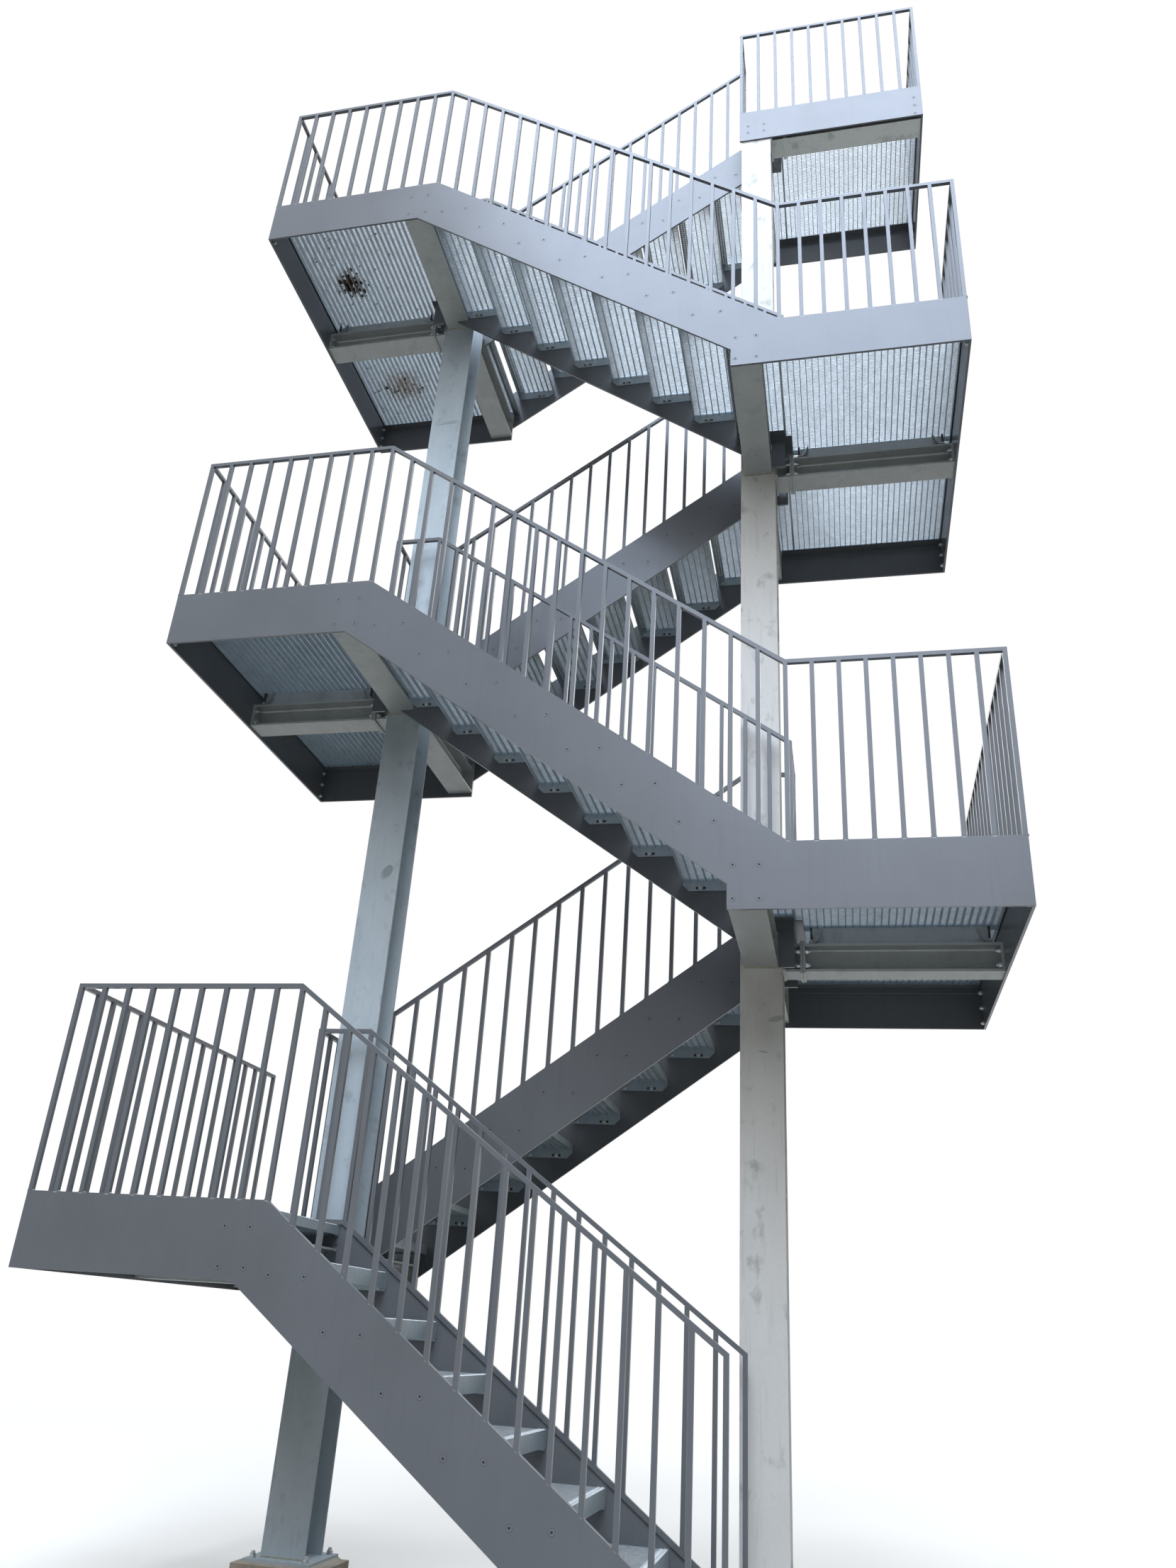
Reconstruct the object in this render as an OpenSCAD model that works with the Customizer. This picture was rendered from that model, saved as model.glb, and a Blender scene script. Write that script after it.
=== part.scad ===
// External escape stair in steel. Straight flights double back between two rows of
// landings, carried by arms and beams on two H columns that stand on plinths.
// X runs along the flights, Y from the open side to the wall side, Z up from the ground.

/* [Flights] */
// Number of flights, each ending on its own landing
flight_count = 6; // [2:2:8]
// Height of one step
riser = 187.5; // [175:0.5:195]
// Length of one step along the flight
going = 260; // [240:1:270]
// Steps in one flight, the last one onto the landing
riser_count = 8; // [7:1:9]
// Clear width of a flight between its two stringers
tread_len = 800; // [700:5:1000]
// Clear gap between the front and the rear flights
well = 330; // [320:5:500]

/* [Landings] */
// Left landing, from its end to the bend of the front stringer
landing_left = 1089; // [1000:1:1400]
// Right landing, from the bend of the front stringer to its end
landing_right = 951; // [900:1:1400]
// How far the rear flights stand to the left of the front ones
rear_shift = 283; // [240:1:320]
// Distance from a bend to the well end of the inner stringer
well_inset = 14; // [5:1:30]
// Overlap of a step under the edge of the next one up
nosing_lap = 10; // [6:1:12]
// Distance of a landing's step edge before the upper bend
nose_set = 22; // [10:1:26]

/* [Stringers] */
// Depth of the stringer plates
stringer_h = 300; // [280:1:340]
// Thickness of the stringer plates
stringer_t = 12; // [8:1:15]
// Height of the plate edge above the walking line
upstand = 25; // [22:1:60]
// Distance from the lower bend back to the step in the lower edge
toe = 254; // [230:1:280]
// Leg of the angle that carries the gratings
ledge_w = 40; // [30:1:50]
// Thickness of that angle
ledge_t = 5; // [4:1:8]
// Width of the foot plate under the lowest flight
foot_w = 80; // [60:1:120]
// Thickness of the foot plate
foot_t = 12; // [8:1:20]

/* [Treads and gratings] */
// Height of the bearing bars of a tread
bar_h = 30; // [25:1:40]
// Height of the bearing bars of a landing
deck_h = 40; // [30:1:50]
// Thickness of the bearing bars
bar_t = 3; // [2:0.5:5]
// Spacing of the bearing bars
bar_pitch = 33.3; // [30:0.1:40]
// Height of the bolted side plate of a tread
side_h = 76; // [70:1:85]
// Thickness of that side plate
side_t = 4; // [3:0.5:6]
// Chamfer of its lower corner at the back
side_chamfer = 30; // [10:1:35]
// Height of the plate at the front of a tread
nosing_h = 65; // [40:1:70]
// Gap round each grating panel
grating_gap = 5; // [3:0.5:8]

/* [Columns] */
// Flange width of the columns
col_w = 200; // [180:1:240]
// Depth of the columns
col_d = 190; // [170:1:220]
// Flange thickness of the columns
col_flange = 10; // [8:0.5:15]
// Web thickness of the columns
col_web = 6.5; // [5:0.5:9]
// Root radius of the columns
col_root = 18; // [12:1:24]
// Distance of the column centre from the upper bend
col_setback = 107; // [104:1:110]
// Gap between the right column and the plate beside its head
head_gap = 0.5; // [0.3:0.1:2]
// Base plate along X
base_x = 300; // [290:1:360]
// Base plate along Y
base_y = 310; // [280:1:314]
// Base plate thickness
base_t = 20; // [15:1:30]
// Anchor hole diameter
anchor_d = 18; // [14:1:22]
// Anchor holes apart along X
anchor_x = 240; // [230:1:250]
// Anchor holes apart along Y
anchor_y = 250; // [236:1:256]
// Plinth along X
plinth_x = 400; // [380:5:500]
// Gap between a plinth and the inner stringers on both sides of it
plinth_gap = 3; // [2:1:6]
// Plinth height
plinth_h = 170; // [100:5:300]

/* [Arms and beams] */
// Width of the arms
arm_w = 160; // [140:1:180]
// Depth of the arms
arm_h = 152; // [132:1:170]
// Flange thickness of the arms
arm_flange = 9; // [7:0.5:12]
// Web thickness of the arms
arm_web = 6; // [5:0.5:9]
// Walking surface down to the underside of the arms
arm_drop = 250; // [235:1:265]
// Width of the middle beam
beam_w = 140; // [120:1:160]
// Depth of the middle beam
beam_h = 140; // [120:1:150]
// Flange thickness of the middle beam
beam_flange = 12; // [8:0.5:14]
// Web thickness of the middle beam
beam_web = 7; // [5:0.5:9]
// Walking surface down to the underside of the middle beam
beam_drop = 265; // [255:1:272]
// Root radius of arms and middle beam
beam_root = 12; // [9:1:15]
// Thickness of the end plates of arms and beams
cap_t = 12; // [8:1:15]
// Width of the grating seat on the middle beam
seat_w = 80; // [50:1:100]
// Seat held back from the end plate of the landing
seat_end = 62; // [40:1:90]
// Seat held back from the column
seat_col = 145; // [120:1:180]
// Distance of the beam's bolted joint from the column
splice_x = 84; // [70:1:100]
// Thickness of the two plates of that joint together
splice_t = 24; // [16:1:30]
// How far these plates stand above and below the beam
splice_over = 10; // [3:1:14]

/* [Railings] */
// Side of the square bars
rail_bar = 20; // [16:1:25]
// Top of the railing above the edge of the plate
rail_h = 888; // [850:1:1000]
// Aimed spacing of the balusters
rail_pitch = 121; // [110:1:130]
// Height of the bar that runs along the plate edge under the balusters
base_bar = 20; // [12:1:20]
// How far that bar stands above the plate edge along the flights
base_lip = 1; // [0.5:0.5:2]

/* [Hidden] */
$fn = 48;
slope = riser / going;
theta = atan(slope);
turn = tan(theta / 2);
run = riser_count * going;
rise = riser_count * riser;
kink_a = landing_left;
kink_l = kink_a + run;
total_x = kink_l + landing_right;
flight_w = tread_len + 2 * stringer_t;
total_y = 2 * flight_w + well;
mid_y = total_y / 2;
plinth_y = well - 2 * plinth_gap;
// a rear flight is a front flight turned half round: x -> turn_x - x, y -> total_y - y
turn_x = kink_a + kink_l - rear_shift;
well_a = turn_x - kink_l + well_inset;
well_l = turn_x - well_a;
arm_x = kink_a - col_setback;
arm_low_x = turn_x - arm_x;
head_x = arm_x + col_w / 2 + head_gap;
col_y0 = mid_y - col_d / 2;
col_y1 = mid_y + col_d / 2;
notch_x = kink_l - toe;
// edge of a landing where a flight comes up to it
land_nose = kink_a - nose_set;
tread_depth = going + nosing_lap;
// edge of the lower landing under the lowest tread, and the same line seen from there
low_nose = land_nose + run - going - nosing_lap;
dep_nose = turn_x - low_nose;
slope_bays = round(run / rail_pitch);
bay = run / slope_bays;
first_end = kink_a + (slope_bays - 2) * bay + rail_bar / 2;
// how far a railing bar reaches in over the plate edge that it stands on
over = rail_bar - stringer_t;
ground = -rise - upstand;
grate_z = -upstand - deck_h;
eps = 0.01;

// Helpers

// Puts the stair's corner on the shared origin, in the middle of its footprint.
module place() {
    translate([-total_x / 2, -total_y / 2, 0]) children();
}

// Carries a front flight, drawn with the upper plate edge at z = 0, to flight k.
module at_flight(k) {
    translate([0, 0, k * rise + upstand])
        if (k % 2 == 1) children();
        else translate([turn_x, total_y, 0]) rotate(180) children();
}

// Extrudes an X-Z drawing from y0 over a thickness t.
module plate_xz(y0, t) {
    translate([0, y0 + t, 0]) rotate([90, 0, 0]) linear_extrude(t) children();
}

// End of the landing on which flight k arrives, and of the one it leaves.
function end_a(k) = k % 2 == 1 ? 0 : turn_x - total_x;
function end_l(k) = k % 2 == 1 ? total_x : turn_x;

// Start of the inner railing of flight k, flush with the well plate under it.
function well_rail_x(k) = (k == flight_count ? head_x : well_a) - over;

// Height of the line that lies d below the bent plate edge, square to it.
function line_z(x, d) = x < kink_a - d * turn ? -d
    : x < kink_l - d * turn ? -(x - kink_a) * slope - d / cos(theta)
    : -rise - d;
function knots(x0, x1, d) = concat([x0],
    [for (k = [kink_a, kink_l]) if (k - d * turn > x0 && k - d * turn < x1) k - d * turn],
    [x1]);
function path(x0, x1, d, up) = [for (x = knots(x0, x1, d)) [x, line_z(x, d) + up]];
function flip(list) = [for (i = [len(list) - 1:-1:0]) list[i]];

// Rolled H section in X-Y, w wide along X and d deep along Y, flanges across Y.
module h_section(w, d, flange, web, root) {
    for (s = [-1, 1]) translate([-w / 2, s * (d - flange) / 2 - flange / 2]) square([w, flange]);
    square([web, d - 2 * flange + 2 * eps], center = true);
    for (sx = [-1, 1], sy = [-1, 1])
        translate([sx * web / 2, sy * (d / 2 - flange)]) mirror([sx < 0 ? 1 : 0, 0])
            mirror([0, sy > 0 ? 1 : 0]) translate([-eps, -eps]) difference() {
                square(root + eps);
                translate([root + eps, root + eps]) circle(root);
            }
}

// Columns

module plinths() {
    color("darkkhaki") for (x = [arm_x, arm_low_x])
        translate([x - plinth_x / 2, mid_y - plinth_y / 2, 0])
            cube([plinth_x, plinth_y, plinth_h]);
}

module column(x, top) {
    color("gray") translate([x, mid_y, 0]) {
        translate([0, 0, plinth_h + base_t]) linear_extrude(top - plinth_h - base_t)
            h_section(col_w, col_d, col_flange, col_web, col_root);
        difference() {
            translate([-base_x / 2, -base_y / 2, plinth_h]) cube([base_x, base_y, base_t]);
            for (sx = [-1, 1], sy = [-1, 1])
                translate([sx * anchor_x / 2, sy * anchor_y / 2, plinth_h - 1])
                    cylinder(d = anchor_d, h = base_t + 2);
        }
    }
}

// Stringers

// Outline of a stringer from x0 on the upper landing to x1 on the lower one.
module stringer_outline(x0, x1) {
    polygon(concat(path(x0, x1, 0, 0),
        [[x1, -rise - stringer_h], [notch_x, -rise - stringer_h],
         [notch_x, line_z(notch_x, stringer_h)]],
        flip(path(x0, notch_x - eps, stringer_h, 0))));
}

// Outline of the lowest stringer, cut level on its foot and upright behind it.
module ground_outline(x0) {
    foot_z = ground + foot_t;
    back_x = kink_a + (-foot_z - stringer_h / cos(theta)) / slope;
    polygon(concat(path(x0, first_end, 0, 0),
        [[first_end, foot_z], [back_x, foot_z], [kink_a - stringer_h * turn, -stringer_h],
         [x0, -stringer_h]]));
}

// Angle on a plate at y, from x0 to x1 where that leaves it a length, its top z under the
// gratings; side is +1 or -1.
module ledge(x0, x1, y, z, side) {
    if (x1 > x0) {
        translate([x0, y - (side < 0 ? ledge_t : 0), z - ledge_w])
            cube([x1 - x0, ledge_t, ledge_w]);
        translate([x0, y - (side < 0 ? ledge_w : 0), z - ledge_t])
            cube([x1 - x0, ledge_w, ledge_t]);
    }
}

// Foot plate with two anchor holes under the lowest flight, reaching inward from y.
module foot(y, side) {
    back_x = kink_a + (-ground - foot_t - stringer_h / cos(theta)) / slope;
    difference() {
        translate([back_x, y - (side < 0 ? foot_w : 0), ground])
            cube([first_end - back_x, foot_w, foot_t]);
        for (x = [back_x + foot_w / 2, first_end - foot_w / 2])
            translate([x, y + side * foot_w * 5 / 8, ground - 1])
                cylinder(d = anchor_d, h = foot_t + 2);
    }
}

// Ledges of the outer plate, broken where the end plate of an arm is bolted on.
module outer_ledges(k) {
    y = stringer_t;
    gap = arm_w / 2 + grating_gap;
    ledge(end_a(k) + stringer_t, arm_x - gap, y, grate_z, 1);
    ledge(arm_x + gap, land_nose, y, grate_z, 1);
    if (k > 1) {
        ledge(low_nose, arm_low_x - gap, y, grate_z - rise, 1);
        ledge(arm_low_x + gap, end_l(k) - stringer_t, y, grate_z - rise, 1);
    }
}

module outer_stringer(k) {
    color("slategray") at_flight(k) {
        plate_xz(0, stringer_t) if (k == 1) ground_outline(end_a(k));
            else stringer_outline(end_a(k), end_l(k));
        outer_ledges(k);
        if (k == 1) foot(0, 1);
    }
}

// Inner stringer with seats cut over the arms, and its ledges for the gratings.
module inner_stringer(k) {
    y = flight_w - stringer_t;
    cut = arm_w + 2 * grating_gap;
    color("slategray") at_flight(k) {
        difference() {
            plate_xz(y, stringer_t) if (k == 1) ground_outline(well_a);
                else stringer_outline(well_a, well_l);
            translate([arm_x - cut / 2, y - 1, -stringer_h - 1])
                cube([cut, stringer_t + 2, stringer_h + 1 - upstand - arm_drop + arm_h]);
            if (k > 1) translate([arm_low_x - cut / 2, y - 1, -rise - stringer_h - 1])
                cube([cut, stringer_t + 2, stringer_h + 1 - upstand - arm_drop + arm_h]);
            if (k == flight_count)
                translate([well_a - 1, y - 1, grate_z])
                    cube([head_x - well_a + 1, stringer_t + 2, upstand + deck_h + 1]);
        }
        ledge(well_a, land_nose, y, grate_z, -1);
        if (k > 1) ledge(low_nose, well_l, y, grate_z - rise, -1);
        if (k == 1) foot(flight_w, -1);
    }
}

// Upright plates across the well at the end of each landing, with a leg that carries its
// gratings, or at the head of the stair, where the column does.
module well_plates() {
    color("slategray") for (k = [1:flight_count]) at_flight(k) {
        last = k == flight_count;
        translate([last ? head_x : well_a, flight_w, grate_z - ledge_w])
            cube([stringer_t, last ? col_y1 - flight_w : well, upstand + deck_h + ledge_w]);
        if (!last) translate([well_a - ledge_w, flight_w, grate_z - ledge_t])
            cube([ledge_w, well, ledge_t]);
    }
}

// Treads and gratings

// Grating panel with its corner at [x0, y0], top at z = 0, bearing bars along Y.
module grating(x0, x1, y0, y1) {
    count = floor((x1 - x0 - bar_t) / bar_pitch);
    step = (x1 - x0 - bar_t) / count;
    for (y = [y0, y1 - bar_t]) translate([x0, y, -deck_h]) cube([x1 - x0, bar_t, deck_h]);
    for (i = [0:count]) translate([x0 + i * step, y0, -deck_h]) cube([bar_t, y1 - y0, deck_h]);
}

// Pressed-grating tread; its nosing is at the far X end, its top at z = 0.
module tread() {
    inner = tread_len - 2 * side_t;
    count = floor((tread_depth - 2 * bar_t) / bar_pitch);
    step = (tread_depth - 2 * bar_t) / count;
    for (y = [0, tread_len - side_t]) plate_xz(y, side_t) polygon([
        [0, 0], [tread_depth - bar_t, 0], [tread_depth - bar_t, -side_h],
        [side_chamfer, -side_h], [0, -side_h + side_chamfer]]);
    for (i = [0:count - 1])
        translate([i * step, side_t - eps, -bar_h]) cube([bar_t, inner + 2 * eps, bar_h]);
    translate([tread_depth - bar_t, 0, -nosing_h]) cube([bar_t, tread_len, nosing_h]);
}

module treads(k) {
    color("silver") at_flight(k)
        for (i = [0:riser_count - 2])
            translate([land_nose + (i + 1) * going - tread_depth, stringer_t,
                       -upstand - (i + 1) * riser]) tread();
}

module landing_grating(k) {
    inset = stringer_t + grating_gap;
    y_far = total_y - inset;
    x_in = end_a(k) + inset;
    last = k == flight_count;
    color("silver") at_flight(k) translate([0, 0, -upstand]) {
        grating(x_in, well_a - grating_gap, inset, (last ? col_y1 : mid_y) - grating_gap);
        grating(well_a, land_nose, inset, last ? flight_w : flight_w - inset);
        if (last) grating(well_a, head_x - grating_gap, flight_w + grating_gap,
                          col_y1 - grating_gap);
        else {
            grating(x_in, well_a - grating_gap, mid_y, y_far);
            grating(well_a, dep_nose, total_y - flight_w + inset, y_far);
        }
    }
}

// Landing steel

// H section along Y from y0 to y1, centred on x, underside at z.
module beam_y(x, y0, y1, z, w, h, flange, web) {
    translate([x, y1, z + h / 2]) rotate([90, 0, 0]) linear_extrude(y1 - y0)
        h_section(w, h, flange, web, beam_root);
}

module arm(y0, y1, cap_y) {
    body0 = cap_y == y0 ? y0 + cap_t : y0;
    body1 = cap_y == y1 ? y1 - cap_t : y1;
    beam_y(arm_x, body0, body1, -arm_drop, arm_w, arm_h, arm_flange, arm_web);
    translate([arm_x - arm_w / 2, cap_y == y0 ? y0 : y1 - cap_t, -arm_drop])
        cube([arm_w, cap_t, arm_drop + grate_z + upstand - grating_gap]);
}

module landing_beams(k) {
    x0 = end_a(k) + stringer_t;
    x1 = arm_x - col_w / 2;
    beam_top = beam_h - beam_drop;
    color("lightsteelblue") at_flight(k) translate([0, 0, -upstand]) {
        arm(stringer_t, col_y0, stringer_t);
        if (k < flight_count) arm(col_y1, total_y - stringer_t, total_y - stringer_t);
        translate([0, mid_y, 0]) {
            translate([x0 + cap_t, 0, beam_h / 2 - beam_drop]) rotate([90, 0, 90])
                linear_extrude(x1 - x0 - 2 * cap_t)
                    h_section(beam_w, beam_h, beam_flange, beam_web, beam_root);
            translate([x0, -beam_w / 2, -beam_drop]) cube([cap_t, beam_w, beam_h]);
            translate([x1 - cap_t, -col_d / 2, -beam_drop]) cube([cap_t, col_d, beam_h]);
            translate([x1 - splice_x - splice_t, -beam_w / 2 - splice_over,
                       -beam_drop - splice_over])
                cube([splice_t, beam_w + 2 * splice_over, beam_h + 2 * splice_over]);
            translate([x0 + seat_end, -seat_w / 2, beam_top])
                cube([x1 - x0 - seat_end - seat_col, seat_w, -deck_h - beam_top]);
        }
    }
}

module end_plates() {
    color("slategray") for (k = [1:flight_count]) at_flight(k)
        translate([end_a(k), stringer_t, -stringer_h])
            cube([stringer_t, (k == flight_count ? col_y1 : total_y - stringer_t) - stringer_t,
                  stringer_h]);
}

// Plate along the open side of the top landing, on the flanges of the right column.
module top_fascia() {
    color("slategray") at_flight(flight_count)
        translate([end_a(flight_count), col_y1, -stringer_h])
            cube([head_x + stringer_t - end_a(flight_count), stringer_t, stringer_h]);
}

// Railings

// Baluster centred on x that stands on the bent plate edge, its face at y.
module baluster(x, y) {
    x0 = x - rail_bar / 2;
    x1 = x + rail_bar / 2;
    top = line_z(x1, 0) + rail_h - rail_bar / 4;
    plate_xz(y, rail_bar) polygon(concat([[x1, top], [x0, top]], path(x0, x1, 0, 0)));
}

// Balusters spread from xa to xb, both ends included.
module balusters(xa, xb, y) {
    bays = max(1, round((xb - xa) / rail_pitch));
    for (i = [0:bays]) baluster(xa + i * (xb - xa) / bays, y);
}

// Bottom bar of a railing along the flight, from x0 to x1 beside the plate, from y inward.
module base_x(x0, x1, y) {
    plate_xz(y, over) polygon(concat(path(x0, x1, 0, base_lip), flip(path(x0, x1, base_bar, 0))));
}

// Bottom bar of a railing along Y, from x inward.
module base_y(x, y0, y1) {
    translate([x, y0, -base_bar]) cube([over, y1 - y0, base_bar]);
}

// Railing along the flight from x0 to x1 with a post at each end, its face at y.
module railing_x(x0, x1, y) {
    half = rail_bar / 2;
    low = min(slope_bays, floor((x1 - half - kink_a) / bay));
    plate_xz(y, rail_bar)
        polygon(concat(path(x0, x1, 0, rail_h), flip(path(x0, x1, rail_bar, rail_h))));
    if (kink_a - x0 > rail_pitch) balusters(x0 + half, kink_a, y);
    else baluster(x0 + half, y);
    for (i = [1:low]) baluster(kink_a + i * bay, y);
    if (x1 > kink_l + rail_pitch) balusters(kink_l, x1 - half, y);
    else if (x1 - half > kink_a + low * bay + rail_bar) baluster(x1 - half, y);
}

// Railing along Y at x0, on edges at height 0, from y0 to y1, posts at the far end only.
module railing_y(x0, y0, y1, far_post) {
    bays = round((y1 - y0) / rail_pitch);
    step = (y1 - y0) / bays;
    translate([x0, y0, rail_h - rail_bar]) cube([rail_bar, y1 - y0, rail_bar]);
    for (i = [1:bays - 1])
        translate([x0, y0 + i * step - rail_bar / 2, 0]) cube([rail_bar, rail_bar, rail_h - eps]);
    if (far_post) translate([x0, y1 - rail_bar, 0]) cube([rail_bar, rail_bar, rail_h - eps]);
}

module outer_railing(k) {
    x1 = k == 1 ? first_end : end_l(k);
    color("slategray") at_flight(k) {
        railing_x(end_a(k), x1, 0);
        base_x(end_a(k) + stringer_t, k == 1 ? x1 : x1 - stringer_t, stringer_t);
    }
}

module inner_railing(k) {
    x0 = well_rail_x(k);
    x1 = k == 1 ? first_end : well_l + over;
    color("slategray") at_flight(k) {
        railing_x(x0, x1, flight_w - rail_bar);
        base_x(x0 + over, k == 1 ? x1 : x1 - over, flight_w - rail_bar);
    }
}

// Railings across the well between the inner railings, the last one out to the top railing.
module well_railings() {
    color("slategray") for (k = [1:flight_count]) at_flight(k) {
        y1 = k == flight_count ? col_y1 - over : flight_w + well;
        railing_y(well_rail_x(k), flight_w, y1, false);
        base_y(well_rail_x(k), flight_w - rail_bar, k == flight_count ? y1 : y1 + rail_bar);
    }
}

module end_railings(first) {
    color("slategray") for (k = [first:2:flight_count]) at_flight(k) {
        left = k % 2 == 1;
        y1 = left ? total_y : k == flight_count ? col_y1 - over : total_y - rail_bar;
        railing_y(end_a(k), left ? rail_bar : 0, y1, left);
        base_y(end_a(k) + stringer_t, left ? rail_bar : stringer_t,
               left ? y1 - stringer_t : y1);
    }
}

module top_railing() {
    x0 = end_a(flight_count);
    x1 = head_x + stringer_t;
    y0 = col_y1 - over;
    color("slategray") at_flight(flight_count) {
        translate([x0, y0, rail_h - rail_bar]) cube([x1 - x0, rail_bar, rail_bar]);
        balusters(x0 + rail_bar / 2, x1 - rail_bar / 2, y0);
        base_x(x0 + stringer_t, head_x, y0);
    }
}

// Assembly

place() plinths();
place() column(arm_x, (flight_count - 1) * rise - deck_h);  // column_left
place() column(arm_low_x, flight_count * rise - deck_h);  // column_right
place() for (k = [1:2:flight_count]) inner_stringer(k);  // inner_stringers_front
place() for (k = [2:2:flight_count]) inner_stringer(k);  // inner_stringers_rear
place() well_plates();
place() well_railings();
place() end_railings(1);  // end_railings_left
place() end_railings(2);  // end_railings_right
place() top_railing();
place() end_plates();
place() top_fascia();
for (k = [1:flight_count]) {
    place() outer_stringer(k);
    place() treads(k);
    if (k % 2 == 1) place() outer_railing(k);
    place() inner_railing(k);
    place() landing_beams(k);
    place() landing_grating(k);
}
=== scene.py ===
"""Finishes, grating mesh, fixings, welds and studio of the external escape stair.

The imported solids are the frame. What is added here sits on them, in metres, and
StairPlan repeats the sizes of the source in millimetres.
"""
import logging
import math
import random
from dataclasses import dataclass, replace
from enum import Enum
from itertools import product
from typing import ClassVar, Iterator, Sequence

import bpy
from mathutils import Matrix, Vector


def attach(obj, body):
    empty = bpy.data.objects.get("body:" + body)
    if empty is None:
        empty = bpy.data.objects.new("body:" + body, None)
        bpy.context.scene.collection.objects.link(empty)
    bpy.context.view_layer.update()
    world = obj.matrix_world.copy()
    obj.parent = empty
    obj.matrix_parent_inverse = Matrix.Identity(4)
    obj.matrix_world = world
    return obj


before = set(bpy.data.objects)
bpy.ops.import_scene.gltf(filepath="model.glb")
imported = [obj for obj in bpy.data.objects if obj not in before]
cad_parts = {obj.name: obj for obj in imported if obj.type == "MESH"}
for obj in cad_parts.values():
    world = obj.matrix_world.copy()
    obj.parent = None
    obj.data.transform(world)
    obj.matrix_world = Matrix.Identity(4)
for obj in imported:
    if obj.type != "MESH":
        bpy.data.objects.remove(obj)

LOG = logging.getLogger("escape_stair")
MM = 0.001
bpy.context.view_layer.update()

Point = Sequence[float]
Tree = bpy.types.NodeTree
Node = bpy.types.Node
Socket = bpy.types.NodeSocket


def linear(code: str) -> tuple[float, float, float, float]:
    """Turns an sRGB hex colour into linear values.

    Args:
        code: six hex digits.

    Returns:
        Red, green, blue and an alpha of one.
    """
    parts = [int(code[i:i + 2], 16) / 255 for i in (0, 2, 4)]
    r, g, b = (c / 12.92 if c <= 0.04045 else ((c + 0.055) / 1.055) ** 2.4 for c in parts)
    return r, g, b, 1.0


def add_node(tree: Tree, kind: str, inputs: dict | None = None, **settings: object) -> Node:
    """Adds a node, sets it and fills or links its inputs.

    Args:
        tree: the node tree of the material or world.
        kind: the node's type name.
        inputs: for each input's name or number a value, a socket or a node, whose first
            output is then linked.
        settings: properties of the node.

    Returns:
        The new node.
    """
    node = tree.nodes.new(kind)
    for key, value in settings.items():
        setattr(node, key, value)
    for key, value in (inputs or {}).items():
        if isinstance(value, Node):
            value = value.outputs[0]
        if isinstance(value, Socket):
            tree.links.new(value, node.inputs[key])
        else:
            node.inputs[key].default_value = value
    return node


def emptied(owner: bpy.types.ID) -> Tree:
    """Clears the nodes of a material or world.

    Args:
        owner: the material or world.

    Returns:
        Its empty node tree.
    """
    owner.use_nodes = True
    owner.node_tree.nodes.clear()
    return owner.node_tree


def placed(name: str, data: bpy.types.ID) -> bpy.types.Object:
    """Puts an object into the scene.

    Args:
        name: its name.
        data: its mesh, lamp or camera.

    Returns:
        The object.
    """
    made = bpy.data.objects.new(name, data)
    bpy.context.scene.collection.objects.link(made)
    return made


# The stair's sizes


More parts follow.
